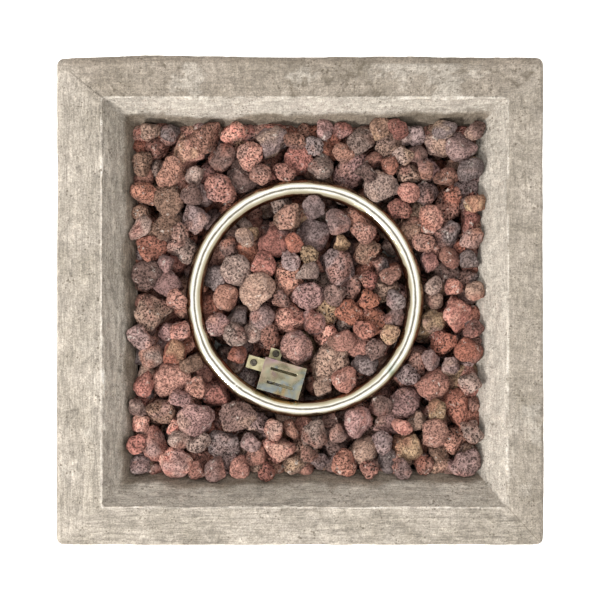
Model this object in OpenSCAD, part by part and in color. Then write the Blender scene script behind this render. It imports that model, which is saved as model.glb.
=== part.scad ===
// Square gas fire pit: a cast column and bowl, a lava rock bed, a ring burner and its controls.
// The origin is the centre of the base on the ground, +Z is up and the controls face -Y.

/* [Castings] */
// Width and depth of the top casting
top_w = 508; // [506:2:512]
// Height of the whole pit above the ground
pit_h = 610; // [608:1:620]
// Thickness of the top casting
top_t = 60; // [58:1:62]
// Radius of the top casting's outer edges
edge_r = 8; // [4:1:10]
// Width of the bowl's rim opening, left to right
bowl_w = 422; // [418:2:426]
// Depth of the bowl's rim opening, front to back
bowl_d = 427; // [424:1:430]
// Width of the bowl's throat, where its walls meet the burner pan
throat_w = 366; // [364:1:368]
// Depth of the bowl's throat, front to back
throat_d = 370; // [368:1:372]
// Width and depth of the column
column_w = 480; // [478:1:482]
// Wall thickness of the column
column_wall = 16; // [16:1:18]

/* [Burner] */
// Outer diameter of the burner ring
ring_od = 256; // [250:1:260]
// Diameter of the ring's tube
tube_d = 19; // [18:0.5:20]
// Height of the ring's centre line above the pan's floor
ring_lift = 51; // [49:1:53]
// Number of gas jets round the ring
jet_count = 24; // [12:2:30]
// Depth of the burner pan below the top casting
pan_depth = 34; // [33:1:35]

/* [Lava rock] */
// Number of stones tried in the pour, of which those that find no room are left out
stone_count = 700; // [60:20:720]
// Radius of the smallest stone
stone_small = 9; // [9:0.5:11]
// Radius of the largest stone
stone_large = 18; // [17:0.5:19]
// Seed of the pour
stone_seed = 7; // [1:1:9]

/* [Controls] */
// Height of the knob and the igniter above the ground
control_z = 424; // [420:1:426]
// Diameter of the control knob
knob_d = 40; // [36:1:44]
// How far the knob is pressed in
knob_travel = 4; // [3:0.5:4]
// How far the igniter button is pressed in
button_travel = 5.5; // [4:0.5:5.5]

/* [Door] */
// Width of the door opening
door_w = 340; // [330:2:340]
// Gap round the door
door_gap = 3; // [2.5:0.5:4]

/* [Hidden] */
$fn = 48;

// Overlap that keeps a cut from ending exactly on a face
eps = 1;
// Thickness of the sheet steel parts
sheet = 1.2;

// Heights of the stack, from the ground up
foot_h = 15;
plate_t = 3;
column_z = foot_h + plate_t;
top_z = pit_h - top_t;
lip_h = 5;
edge_z = top_z + lip_h;

// The bowl, whose rim and throat sit slightly off the middle, as hand-set mould cores do
bowl_c = [5, -1.5];
throat_c = [7, 3];
rim_soft = 3;
bowl_drop = pit_h - rim_soft - edge_z;
// How far the low and the high wall lean in, along X and along Y
lean_x = [for (s = [-1, 1]) s * (bowl_c[0] - throat_c[0]) + (bowl_w - throat_w) / 2];
lean_y = [for (s = [-1, 1]) s * (bowl_c[1] - throat_c[1]) + (bowl_d - throat_d) / 2];

// The inside of the column
inner_half = column_w / 2 - column_wall;
back_y = column_w / 2;

// The feet and the corner pads that their studs screw into
foot_r = 20;
foot_at = 204;
pad_w = 42;
pad_h = 30;
stud_r = 4;
stud_low = 6;

// The gas bottle's place on the floor
tank_c = [0, 20];
tank_ring_r = 106;
tank_ring_h = 12;
vent_ring_r = 72;
vent_r = 12;

// The burner pan
pan_gap = 2;
pan_w = throat_w + 2 * pan_gap;
pan_d = throat_d + 2 * pan_gap;
pan_flange = 26;
pan_top = top_z;
floor_z = pan_top - pan_depth + sheet;
pan_screw_r = 2.5;
pan_screw_at = [for (s = [-1, 1], t = [-1, 1]) each [
    throat_c + [s * (pan_w / 2 + 14), t * pan_d / 4],
    throat_c + [s * pan_w / 4, t * (pan_d / 2 + 14)]
]];

// The burner ring and its feed
tube_r = tube_d / 2;
tube_wall = 1;
ring_r = ring_od / 2 - tube_r;
ring_c = [5, 3];
ring_z = floor_z + ring_lift;
feed_angle = -62;
feed_at = ring_c + ring_r * [cos(feed_angle), sin(feed_angle)];
feed_r = 8;
feed_wall = 1.5;
feed_low = 494;
leg_angles = [28, 118, 208];
leg_w = 12;
leg_t = 2;
leg_foot = 18;
leg_screw_at = [for (a = leg_angles) ring_c + (ring_r - 11) * [cos(a), sin(a)]];

// The mixer, orifice and pipe below the pan
mixer_r = 13;
mixer_low = 460;
mixer_top = 507;
orifice_low = 450;
pipe_r = 4;
pipe_wall = 1;
bend_r = 18;
nut_len = 8;

// The heat shield
shield_z = 496;
shield_half = inner_half - 1;
shield_lip = 14;
shield_screw_y = 100;
shield_screw_z = shield_z + 9;

// The pilot assembly, turned so that its length lies along the ring
pilot_angle = -106;
pilot_r = 88.6;
pilot_c = ring_c + pilot_r * [cos(pilot_angle), sin(pilot_angle)];
pilot_turn = pilot_angle + 90;
cover_w = 46;
cover_d = 35;
cover_top = floor_z + 65;
flange_z = floor_z + 43;
slot_len = 29;
slot_wide = 3;
slot_at = [7.5, -7.5];
ceramic_at = [-3, -8];
probe_at = [-11, -7];
probe_r = 3;
tab_screw_at = [[-34, 7], [-13.5, 23]];
harness_r = 16;
stand_screw_u = 22;

// The control panel and its recess in the front wall
panel_w = 198;
panel_h = 98;
panel_t = 1.5;
pocket_deep = 10;
pocket_y = -back_y + pocket_deep;
window_w = 168;
window_h = 68;
panel_screw_at = [for (s = [-1, 1], t = [-1, 1]) [s * 92, control_z + t * 42]];

// The gas valve, in line with the burner's feed
valve_x = feed_at[0];
plug_r = 7;
stem_r = 4;
play = 0.05;
barrel_r = 13;
valve_back = -182;
outlet_y = -170;
inlet_y = -202;
inlet_r = 7.9;
inlet_len = 16;
valve_screw_dz = 24;
valve_flange_t = 4;
valve_flange_dz = 28;

// The knob, whose faces stay inside the line of the top casting
knob_back = pocket_y - panel_t - knob_travel - 0.5;
knob_front = -top_w / 2 + 1;

// The piezo igniter, and the inner end of its button at rest
igniter_x = -valve_x;
barrel_thread_r = 11;
button_r = 8;
button_back = -221;

// The door in the back wall, and its hinges
door_low = 30;
door_high = 490;
door_t = 14;
backing_t = 1.5;
hinge_x = -door_w / 2 + door_gap / 2;
hinge_y = back_y + 5;
knuckle_r = 5;
pin_r = 2.5;
leaf_w = 30;
leaf_t = 2;
leaf_h = 60;
hinge_low = [70, 400];
hinge_screw_dz = [12, 48];
knob_at = [140, 265];
catch_x = [146, 196];
catch_z = [243, 277];
catch_deep = 16;
strike_t = 2.5;
strike_gap = 0.3;
nose_y = back_y - door_t - backing_t - strike_t - strike_gap;
catch_screw_x = 184;

// The pour: places a stone is dropped at, places close by it then tries, how far past the throat it may lie on
// the walls, the highest that it may reach, the level that splits the two layers, and the pilot's own room
drops = 60;
shifts = 16;
spill = 8;
fill_top = floor_z + 66;
layer_z = floor_z + 24;
pilot_room = [24, 18.5];

// Directions of the twelve corners of a regular solid of twenty faces
golden = (1 + sqrt(5)) / 2;
corners = [
    for (a = [-1, 1], b = [-golden, golden])
    each [[0, a, b] / norm([1, golden]), [a, b, 0] / norm([1, golden]), [b, 0, a] / norm([1, golden])]
];

// Triangles between corners that are neighbours, each turned to face outwards
near = 1.2;
stone_faces = [
    for (a = [0:9], b = [a + 1:10], c = [b + 1:11])
    if (norm(corners[a] - corners[b]) < near && norm(corners[b] - corners[c]) < near
        && norm(corners[a] - corners[c]) < near)
    cross(corners[b] - corners[a], corners[c] - corners[a]) * corners[a] > 0 ? [a, c, b] : [a, b, c]
];

// Routes of the two leads from the pilot down to the controls
probe_xy = pilot_c + turned(probe_at, pilot_turn);
ceramic_xy = pilot_c + turned(ceramic_at, pilot_turn);
thermo_route = [
    [probe_xy[0], probe_xy[1], floor_z + 5], [probe_xy[0], probe_xy[1], 504], [-24, -96, 488],
    [-12, -114, 476], [8, -138, 470], [32, -160, 468], [52, -184, 467], [valve_x, -196, 458],
    [valve_x, -196, 446]
];
spark_route = [
    [ceramic_xy[0], ceramic_xy[1], floor_z + 6], [ceramic_xy[0], ceramic_xy[1], 504], [-20, -104, 486],
    [-34, -118, 466], [-50, -130, 444], [igniter_x, -142, 430], [igniter_x, -156, control_z],
    [igniter_x, -172, control_z]
];

// ---- Shared shapes ----

// A point turned about the origin
function turned(p, a) = [p[0] * cos(a) - p[1] * sin(a), p[0] * sin(a) + p[1] * cos(a)];

// Points of a rectangle w by d about c whose corners have radius r
function outline(w, d, r, c = [0, 0], steps = 4) = [
    for (k = [0:3], i = [0:steps])
    let (a = 90 * k + 90 * i / steps)
    let (sx = k == 0 || k == 3 ? 1 : -1, sy = k < 2 ? 1 : -1)
    [c[0] + sx * (w / 2 - r) + r * cos(a), c[1] + sy * (d / 2 - r) + r * sin(a)]
];

// Points of a row of equal outlines, each given as [outline, height]
function stacked(loops) = [for (l = loops, p = l[0]) [p[0], p[1], l[1]]];

// Two triangles for each cell between ring a and ring b of n points
function band(a, b, n) = [
    for (j = [0:n - 1])
    let (k = (j + 1) % n)
    each [[a * n + j, b * n + j, b * n + k], [a * n + j, b * n + k, a * n + k]]
];

// Upright plate with rounded corners
module plate(w, d, t, r, z, c = [0, 0]) {
    translate([0, 0, z])
        linear_extrude(t)
            polygon(outline(w, d, r, c));
}

// Box between two corners
module box(low, high) {
    translate(low)
        cube(high - low);
}

// Cylinder along Y from y0 to y1
module rod_y(r, x, z, y0, y1) {
    translate([x, y0, z])
        rotate([-90, 0, 0])
            cylinder(r = r, h = y1 - y0);
}

// Cylinder along X from x0 to x1
module rod_x(r, y, z, x0, x1) {
    translate([x0, y, z])
        rotate([0, 90, 0])
            cylinder(r = r, h = x1 - x0);
}

// Cylinder along Z from z0 to z1
module rod_z(r, p, z0, z1) {
    translate([p[0], p[1], z0])
        cylinder(r = r, h = z1 - z0);
}

// Pan-head screw with its head's seat at the origin and its shank pointing down
module screw(r, length) {
    translate([0, 0, -length])
        cylinder(r = r, h = length);
    difference() {
        cylinder(r1 = 2 * r, r2 = 1.6 * r, h = 1.1 * r);
        translate([0, 0, 0.5 * r])
            cylinder(r = 0.7 * r, h = r, $fn = 6);
    }
}

// Moves its children into the pilot's own directions
module at_pilot() {
    translate([pilot_c[0], pilot_c[1], 0])
        rotate([0, 0, pilot_turn])
            children();
}

// Catmull-Rom point on the span from b to c, at t from 0 to 1
function spline(a, b, c, d, t) =
    b + 0.5 * t * (c - a + t * (2 * a - 5 * b + 4 * c - d + t * (3 * (b - c) + d - a)));

// Smooth run of points through a route, four to each span
function smoothed(route) =
    let (last = len(route) - 1)
    concat([
        for (i = [0:last - 1], k = [0:3])
        spline(route[max(i - 1, 0)], route[i], route[i + 1], route[min(i + 2, last)], k / 4)
    ], [route[last]]);

function unit(v) = v / norm(v);

// Rings of points about a run, each square to it
function rings(run, r, sides) = let (last = len(run) - 1) [
    for (i = [0:last])
    let (along = unit(run[min(i + 1, last)] - run[max(i - 1, 0)]))
    let (across = unit(cross(along, [0.6, 0.8, 0.05])), up = cross(along, across))
    for (k = [0:sides - 1])
    run[i] + r * (cos(360 * k / sides) * across + sin(360 * k / sides) * up)
];

// Round lead of radius r along a route
module lead(route, r, sides = 8) {
    run = smoothed(route);
    last = len(run) - 1;
    ends = [[for (k = [0:sides - 1]) k], [for (k = [sides - 1:-1:0]) last * sides + k]];
    polyhedron(rings(run, r, sides), concat([for (i = [0:last - 1]) each band(i, i + 1, sides)], ends));
}

// Pipe along a run, with its outer and inner walls joined at both ends
module pipe(run, outer_r, inner_r, sides = 16) {
    count = len(run);
    inner = rings(run, inner_r, sides);
    inner_back = [for (i = [count - 1:-1:0], k = [0:sides - 1]) inner[i * sides + k]];
    polyhedron(
        concat(rings(run, outer_r, sides), inner_back),
        [for (i = [0:2 * count - 1]) each band(i, (i + 1) % (2 * count), sides)]
    );
}

// ---- Castings and base ----

// Square top with a sloping bowl, cast in one piece and drilled below for the pan
module top_casting() {
    corner = 12;
    under = 4;
    outer = [
        [outline(top_w - 2 * under, top_w - 2 * under, corner), top_z],
        [outline(top_w, top_w, corner), top_z + under]
    ];
    rounded = [
        for (a = [0:30:90])
        let (w = top_w - 2 * edge_r * (1 - cos(a)))
        [outline(w, w, corner), pit_h - edge_r * (1 - sin(a))]
    ];
    bowl = [
        [outline(bowl_w + 2 * rim_soft, bowl_d + 2 * rim_soft, 8, bowl_c), pit_h],
        [outline(bowl_w, bowl_d, 6, bowl_c), pit_h - rim_soft],
        [outline(throat_w, throat_d, 5, throat_c), edge_z],
        [outline(throat_w, throat_d, 5, throat_c), top_z]
    ];
    loops = concat(outer, rounded, bowl);
    rings = len(loops);
    color([0.74, 0.69, 0.62])
        difference() {
            polyhedron(
                stacked(loops),
                [for (i = [0:rings - 1]) each band(i, (i + 1) % rings, len(loops[0][0]))]
            );
            for (p = pan_screw_at)
                rod_z(pan_screw_r, p, top_z - eps, top_z + 14);
        }
}

// Four-sided column with a control window in front, a door opening behind and side vents
module column_casting() {
    vent = [90, 12];
    pad_at = inner_half - pad_w / 2 + eps;
    color([0.72, 0.67, 0.6])
        difference() {
            plate(column_w, column_w, top_z - column_z, 6, column_z);
            difference() {
                plate(2 * inner_half, 2 * inner_half, top_z - column_z + 2 * eps, 4, column_z - eps);
                for (sx = [-1, 1], sy = [-1, 1])
                    translate([sx * pad_at - pad_w / 2, sy * pad_at - pad_w / 2, column_z])
                        cube([pad_w, pad_w, pad_h]);
            }
            box(
                [-panel_w / 2 - 1, -back_y - eps, control_z - panel_h / 2 - 1],
                [panel_w / 2 + 1, pocket_y, control_z + panel_h / 2 + 1]
            );
            box(
                [-window_w / 2, pocket_y - eps, control_z - window_h / 2],
                [window_w / 2, -inner_half + eps, control_z + window_h / 2]
            );
            box([-door_w / 2, inner_half - eps, door_low], [door_w / 2, back_y + eps, door_high]);
            for (sx = [-1, 1], z = [70, 470], y = [-90, 90])
                translate([sx * (inner_half + column_wall / 2), y, z])
                    cube([column_wall + 2 * eps, vent[0], vent[1]], center = true);
            for (sx = [-1, 1], sy = [-1, 1])
                rod_z(stud_r, [sx * foot_at, sy * foot_at], column_z - eps, column_z + 20);
            for (p = panel_screw_at)
                rod_y(2, p[0], p[1], pocket_y - eps, pocket_y + 5);
            for (sx = [-1, 1], sy = [-1, 1])
                rod_x(
                    2, sy * shield_screw_y, shield_screw_z,
                    sx > 0 ? inner_half - eps : -inner_half - 12,
                    sx > 0 ? inner_half + 12 : -inner_half + eps
                );
            for (z0 = hinge_low, dz = hinge_screw_dz)
                rod_y(2, hinge_x - 19, z0 + dz, back_y - 12, back_y + eps);
            for (z = [catch_z[0] + 7, catch_z[1] - 7])
                rod_y(2, catch_screw_x, z, inner_half - eps, inner_half + 10);
        }
}

// Steel floor that the gas bottle stands on, with a ring of vent holes
module floor_plate() {
    color([0.2, 0.2, 0.21])
        difference() {
            plate(column_w - 2, column_w - 2, plate_t, 6, foot_h);
            for (sx = [-1, 1], sy = [-1, 1])
                rod_z(stud_r, [sx * foot_at, sy * foot_at], foot_h - eps, column_z + eps);
            for (a = [0:45:315])
                rod_z(vent_r, tank_c + vent_ring_r * [cos(a), sin(a)], foot_h - eps, column_z + eps);
        }
}

// Upstand that locates the foot of the gas bottle
module tank_ring() {
    color([0.22, 0.22, 0.23])
        difference() {
            rod_z(tank_ring_r + 3, tank_c, column_z, column_z + tank_ring_h);
            rod_z(tank_ring_r, tank_c, column_z - eps, column_z + tank_ring_h + eps);
        }
}

// Moulded rubber foot with a blind hole for its stud
module foot(sx, sy) {
    color([0.1, 0.1, 0.1])
        translate([sx * foot_at, sy * foot_at, 0])
            difference() {
                rotate_extrude()
                    polygon([[0, 0], [foot_r - 3, 0], [foot_r, 3], [foot_r, foot_h - 2],
                        [foot_r - 2, foot_h], [0, foot_h]]);
                translate([0, 0, stud_low])
                    cylinder(r = stud_r, h = foot_h);
            }
}

module foot_front_left() { foot(-1, -1); }
module foot_front_right() { foot(1, -1); }
module foot_back_left() { foot(-1, 1); }
module foot_back_right() { foot(1, 1); }

// Studs bonded into the feet, which clamp the floor under the column
module foot_studs() {
    color([0.62, 0.62, 0.6])
        for (sx = [-1, 1], sy = [-1, 1])
            rod_z(stud_r, [sx * foot_at, sy * foot_at], stud_low, column_z + 18);
}

// ---- Burner ----

// Folded steel tray that holds the burner and the stones
module burner_pan() {
    outer_w = pan_w + 2 * sheet;
    outer_d = pan_d + 2 * sheet;
    under_z = floor_z - sheet;
    color([0.55, 0.55, 0.56])
        difference() {
            union() {
                plate(outer_w, outer_d, pan_top - under_z, 4, under_z, throat_c);
                plate(pan_w + 2 * pan_flange, pan_d + 2 * pan_flange, sheet, 6, pan_top - sheet, throat_c);
            }
            plate(pan_w, pan_d, pan_depth + eps, 3, floor_z, throat_c);
            for (p = pan_screw_at)
                rod_z(pan_screw_r, p, pan_top - sheet - eps, pan_top + eps);
            rod_z(feed_r, feed_at, under_z - eps, floor_z + eps);
            rod_z(harness_r, pilot_c, under_z - eps, floor_z + eps);
            for (p = leg_screw_at)
                rod_z(2, p, under_z - eps, floor_z + eps);
            for (u = [-stand_screw_u, stand_screw_u])
                rod_z(2, pilot_c + turned([u, 0], pilot_turn), under_z - eps, floor_z + eps);
            for (sx = [-1, 1], sy = [-1, 1])
                rod_z(
                    4, throat_c + [sx * (pan_w / 2 - 30), sy * (pan_d / 2 - 30)],
                    under_z - eps, floor_z + eps
                );
        }
}

// Screws up through the pan's flange into the top casting
module pan_screws() {
    color([0.7, 0.7, 0.7])
        for (p = pan_screw_at)
            translate([p[0], p[1], pan_top - sheet])
                mirror([0, 0, 1])
                    screw(pan_screw_r, 12);
}

// Polished stainless tube bent to a ring, with jets below its inner side and a feed stub
module burner_ring() {
    color([0.86, 0.86, 0.85])
        difference() {
            union() {
                translate([ring_c[0], ring_c[1], ring_z])
                    rotate_extrude()
                        translate([ring_r, 0])
                            circle(r = tube_r);
                rod_z(feed_r, feed_at, feed_low, ring_z);
            }
            translate([ring_c[0], ring_c[1], ring_z])
                rotate_extrude()
                    translate([ring_r, 0])
                        circle(r = tube_r - tube_wall);
            rod_z(feed_r - feed_wall, feed_at, feed_low - eps, ring_z);
            for (i = [0:jet_count - 1])
                translate([ring_c[0], ring_c[1], ring_z])
                    rotate([0, 0, feed_angle + 360 * (i + 0.5) / jet_count])
                        translate([ring_r, 0, 0])
                            rotate([0, -140, 0])
                                translate([0, 0, tube_r - 3])
                                    cylinder(r = 1, h = 6);
        }
}

// Bent strip legs that hold the ring above the pan
module ring_legs() {
    color([0.6, 0.6, 0.6])
        for (a = leg_angles)
            translate([ring_c[0], ring_c[1], floor_z])
                rotate([0, 0, a])
                    difference() {
                        union() {
                            translate([ring_r - leg_t / 2, -leg_w / 2, 0])
                                cube([leg_t, leg_w, ring_lift - tube_r]);
                            translate([ring_r - leg_foot, -leg_w / 2, 0])
                                cube([leg_foot, leg_w, leg_t]);
                        }
                        translate([ring_r - 11, 0, -eps])
                            cylinder(r = 2, h = leg_t + 2 * eps);
                    }
}

// Screws that fix the ring's legs to the pan
module leg_screws() {
    color([0.7, 0.7, 0.7])
        for (p = leg_screw_at)
            translate([p[0], p[1], floor_z + leg_t])
                screw(2, 7);
}

// Hexagon nut that locks the feed stub under the pan
module feed_locknut() {
    color([0.75, 0.62, 0.35])
        difference() {
            translate([feed_at[0], feed_at[1], floor_z - sheet - 7])
                cylinder(r = 13, h = 7, $fn = 6);
            rod_z(feed_r, feed_at, floor_z - sheet - 7 - eps, floor_z);
        }
}

// Mixer that draws air in through four holes below the burner
module air_mixer() {
    socket_low = feed_low;
    hole_z = mixer_low + 14;
    color([0.78, 0.66, 0.36])
        difference() {
            rod_z(mixer_r, feed_at, mixer_low, mixer_top);
            rod_z(feed_r, feed_at, socket_low, mixer_top + eps);
            rod_z(feed_r - feed_wall, feed_at, mixer_low + 8, socket_low + eps);
            rod_z(6, feed_at, mixer_low - eps, mixer_low + 8 + eps);
            for (a = [0, 90])
                translate([feed_at[0], feed_at[1], hole_z])
                    rotate([0, 90, a])
                        cylinder(r = 4, h = 2 * mixer_r + 2 * eps, center = true);
        }
}

// Brass jet that meters the gas into the mixer
module gas_orifice() {
    color([0.8, 0.65, 0.32])
        difference() {
            union() {
                translate([feed_at[0], feed_at[1], orifice_low])
                    cylinder(r = 10, h = mixer_low - orifice_low, $fn = 6);
                rod_z(6, feed_at, mixer_low - eps, mixer_low + 7);
            }
            rod_z(pipe_r - pipe_wall, feed_at, orifice_low - eps, mixer_low + 4);
            rod_z(0.8, feed_at, mixer_low, mixer_low + 8);
        }
}

// Aluminium pipe from the valve to the jet, with one quarter bend
module gas_pipe() {
    bend_y = feed_at[1] - bend_r;
    bend_z = control_z + bend_r;
    run = concat(
        [[valve_x, outlet_y, control_z]],
        [for (a = [-90:15:0]) [valve_x, bend_y + bend_r * cos(a), bend_z + bend_r * sin(a)]],
        [[valve_x, feed_at[1], orifice_low]]
    );
    color([0.78, 0.79, 0.8])
        pipe(run, pipe_r, pipe_r - pipe_wall);
}

// Hexagon nuts that hold the pipe's two ends
module pipe_nuts() {
    color([0.8, 0.65, 0.32]) {
        difference() {
            translate([feed_at[0], feed_at[1], orifice_low - nut_len])
                cylinder(r = 8, h = nut_len, $fn = 6);
            rod_z(pipe_r, feed_at, orifice_low - nut_len - eps, orifice_low + eps);
        }
        difference() {
            translate([valve_x, outlet_y, control_z])
                rotate([-90, 0, 0])
                    cylinder(r = 8, h = nut_len, $fn = 6);
            rod_y(pipe_r, valve_x, control_z, outlet_y - eps, outlet_y + nut_len + eps);
        }
    }
}

// Steel shield between the burner and the gas bottle, with its side edges folded up
module heat_shield() {
    color([0.66, 0.67, 0.68])
        difference() {
            union() {
                box([-shield_half, -shield_half, shield_z], [shield_half, shield_half, shield_z + sheet]);
                for (sx = [-1, 1])
                    translate([sx * (shield_half - sheet / 2), 0, shield_z + shield_lip / 2])
                        cube([sheet, 2 * shield_half - 40, shield_lip], center = true);
            }
            rod_z(mixer_r + 3, feed_at, shield_z - eps, shield_z + sheet + eps);
            rod_z(harness_r + 4, pilot_c, shield_z - eps, shield_z + sheet + eps);
            for (sy = [-1, 1])
                rod_x(2, sy * shield_screw_y, shield_screw_z, -shield_half - eps, shield_half + eps);
        }
}

// Screws that fix the heat shield to the column's sides
module shield_screws() {
    color([0.7, 0.7, 0.7])
        for (sx = [-1, 1], sy = [-1, 1])
            translate([sx * (shield_half - sheet), sy * shield_screw_y, shield_screw_z])
                rotate([0, -sx * 90, 0])
                    screw(2, 12);
}

// ---- Pilot and ignition ----

// Stand screwed to the pan, with the flange that carries the electrode, probe and cover
module pilot_bracket() {
    stand_w = 40;
    t = 1.5;
    color([0.8, 0.76, 0.62])
        at_pilot()
            difference() {
                union() {
                    box([-26, -16, floor_z], [26, 16, floor_z + t]);
                    box([-stand_w / 2, 12, floor_z], [stand_w / 2, 12 + t, flange_z]);
                    box([-stand_w / 2, -cover_d / 2, flange_z - t], [stand_w / 2, cover_d / 2, flange_z]);
                    box([-41, 0, flange_z - t], [-stand_w / 2 + 1, 14, flange_z]);
                    box([-20, cover_d / 2 - 1, flange_z - t], [-7, 28, flange_z]);
                }
                rod_z(harness_r - 1, [0, 0], floor_z - eps, floor_z + t + eps);
                for (u = [-stand_screw_u, stand_screw_u])
                    rod_z(2, [u, 0], floor_z - eps, floor_z + t + eps);
                rod_z(probe_r, probe_at, flange_z - t - eps, flange_z + eps);
                rod_z(probe_r, ceramic_at, flange_z - t - eps, flange_z + eps);
                for (p = tab_screw_at)
                    rod_z(2, p, flange_z - t - eps, flange_z + eps);
            }
}

// Slotted sheet cover over the spark gap, open below
module pilot_cover() {
    t = 1;
    color([0.8, 0.8, 0.7])
        at_pilot()
            difference() {
                box([-cover_w / 2, -cover_d / 2, flange_z], [cover_w / 2, cover_d / 2, cover_top]);
                box(
                    [-cover_w / 2 + t, -cover_d / 2 + t, flange_z - eps],
                    [cover_w / 2 - t, cover_d / 2 - t, cover_top - t]
                );
                for (v = slot_at) {
                    box(
                        [-slot_len / 2, v - slot_wide / 2, cover_top - t - eps],
                        [slot_len / 2, v + slot_wide / 2, cover_top + eps]
                    );
                }
                for (s = [-1, 1])
                    box(
                        [-12, s * cover_d / 2 - 2, flange_z + 5],
                        [12, s * cover_d / 2 + 2, flange_z + 12]
                    );
            }
}

// Screws of the pilot stand: two into the pan and two in the flange's tabs
module pilot_screws() {
    color([0.72, 0.72, 0.7])
        at_pilot() {
            for (u = [-stand_screw_u, stand_screw_u])
                translate([u, 0, floor_z + 1.5])
                    screw(2, 6);
            for (p = tab_screw_at)
                translate([p[0], p[1], flange_z])
                    screw(2, 5);
        }
}

// White ceramic sleeve of the spark electrode
module electrode_ceramic() {
    color([0.95, 0.94, 0.9])
        at_pilot()
            difference() {
                rod_z(probe_r, ceramic_at, floor_z + 6, cover_top - 9);
                rod_z(0.9, ceramic_at, floor_z + 6 - eps, cover_top - 8);
            }
}

// Wire electrode that the spark leaves from
module electrode_rod() {
    color([0.6, 0.6, 0.6])
        at_pilot()
            rod_z(0.9, ceramic_at, floor_z + 8, cover_top - 4);
}

// Probe that keeps the valve open while it is hot
module thermocouple_probe() {
    color([0.7, 0.62, 0.5])
        at_pilot() {
            rod_z(probe_r, probe_at, floor_z + 5, cover_top - 12);
            translate([probe_at[0], probe_at[1], cover_top - 12 - eps])
                cylinder(r1 = probe_r, r2 = probe_r - 1, h = 5);
        }
}

// Copper lead from the probe to the valve
module thermocouple_lead() {
    color([0.72, 0.45, 0.3])
        lead(thermo_route, 1.2);
}

// Insulated lead from the igniter to the electrode
module igniter_lead() {
    color([0.85, 0.83, 0.78])
        lead(spark_route, 1.6);
}

// ---- Lava rock ----

// Height at which a stone of radius r rests beside a bowl wall that leans by lean and whose foot is u away
function wall_rest(u, r, lean) =
    let (on_slope = edge_z + (r * norm([lean, bowl_drop]) - bowl_drop * u) / lean)
    u >= r ? floor_z + r
    : bowl_drop * (on_slope - edge_z) >= lean * u ? on_slope
    : edge_z + sqrt(r * r - u * u);

// Height at which a stone of radius r comes to rest at p on the pan, the walls and the other stones
function rest_height(p, r, laid) = let (off = p - throat_c) max(
    wall_rest(throat_w / 2 - abs(off[0]), r, lean_x[off[0] > 0 ? 1 : 0]),
    wall_rest(throat_d / 2 - abs(off[1]), r, lean_y[off[1] > 0 ? 1 : 0]),
    max([
        floor_z,
        for (s = laid)
        let (dx = s[0] - p[0], dy = s[1] - p[1], reach = s[3] + r, left = reach * reach - dx * dx - dy * dy)
        if (left > 0)
        s[2] + sqrt(left)
    ])
);

// Distance from p to a rectangle of half sizes h about the pilot, along the pilot's directions
function pilot_gap(p, h) =
    let (q = turned(p - pilot_c, -pilot_turn))
    norm([max(abs(q[0]) - h[0], 0), max(abs(q[1]) - h[1], 0)]);

// True where a stone of radius r at p and z is clear of the ring, its feed, its legs and the pilot
function clear_of_parts(p, z, r) =
    let (away = norm(p - ring_c) - ring_r)
    z + 0.9 * r < fill_top
    && norm([away, z - ring_z]) > tube_r + r + 0.5
    && (abs(away) > tube_r + 0.8 * r || z < ring_z - 4)
    && norm(p - feed_at) > feed_r + r + 0.5
    && pilot_gap(p, pilot_room) > r
    && min([for (t = tab_screw_at) norm(p - pilot_c - turned(t, pilot_turn))]) > r + 8
    && min([for (a = leg_angles) norm(p - ring_c - (ring_r - 8) * [cos(a), sin(a)])]) > r + 12;

// Radius of stone i: many small ones and a few large ones, and small ones only at the end of the pour
function stone_radius(i) =
    let (span = (stone_large - stone_small) * (i < 0.7 * stone_count ? 1 : 0.45))
    stone_small + span * pow(rands(0, 1, 1, stone_seed + 17 * i)[0], 1.4);

// How a stone of radius r would lie at p, as [height, x, y], with a blocked place counted as high up
function trial(p, r, laid) =
    let (z = rest_height(p, r, laid))
    [clear_of_parts(p, z, r) ? z : z + top_w, p[0], p[1]];

// The lowest trial of a list
function lowest(list) =
    let (low = min([for (t = list) t[0]]))
    [for (t = list) if (t[0] == low) t][0];

// Where stone i of radius r comes to rest: the lowest of a few drops, then the lowest place close by
function settled(i, r, laid) =
    let (spots = rands(-1, 1, 2 * (drops + shifts), stone_seed * 1000 + i))
    let (room = [throat_w / 2 + spill - 0.6 * r, throat_d / 2 + spill - 0.6 * r])
    let (drop = lowest([
        for (k = [0:drops - 1])
        trial(throat_c + [spots[2 * k] * room[0], spots[2 * k + 1] * room[1]], r, laid)
    ]))
    let (reach = r + stone_large + r)
    let (close = [for (s = laid) if (abs(s[0] - drop[1]) < reach && abs(s[1] - drop[2]) < reach) s])
    lowest(concat([drop], [
        for (k = [drops:drops + shifts - 1])
        let (x = drop[1] + r * spots[2 * k], y = drop[2] + r * spots[2 * k + 1])
        if (abs(x - throat_c[0]) < room[0] && abs(y - throat_c[1]) < room[1])
        trial([x, y], r, close)
    ]));

// Stones as [x, y, z, radius], poured one by one, each into the lowest place that it finds
function poured(i = 0, laid = []) =
    i == stone_count ? laid
    : let (r = stone_radius(i), spot = settled(i, r, laid))
      poured(i + 1, spot[0] < pit_h ? concat(laid, [[spot[1], spot[2], spot[0], r]]) : laid);

// The twelve corners of stone k, flattened, dented and turned at random within its radius
function stone_points(s, k) =
    let (v = rands(0, 1, 18, stone_seed * 77 + k))
    let (squash = [1, 0.9 + 0.1 * v[0], 0.84 + 0.14 * v[1]], turn = [360 * v[2], 360 * v[3]])
    [
        for (i = [0:11])
        let (q = [for (m = [0:2]) corners[i][m] * squash[m]] * (0.9 + 0.1 * v[4 + i]) * s[3])
        let (flat = turned([q[0], q[1]], turn[0]), tilt = turned([flat[1], q[2]], turn[1]))
        [s[0] + flat[0], s[1] + tilt[0], s[2] + tilt[1]]
    ];

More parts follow.
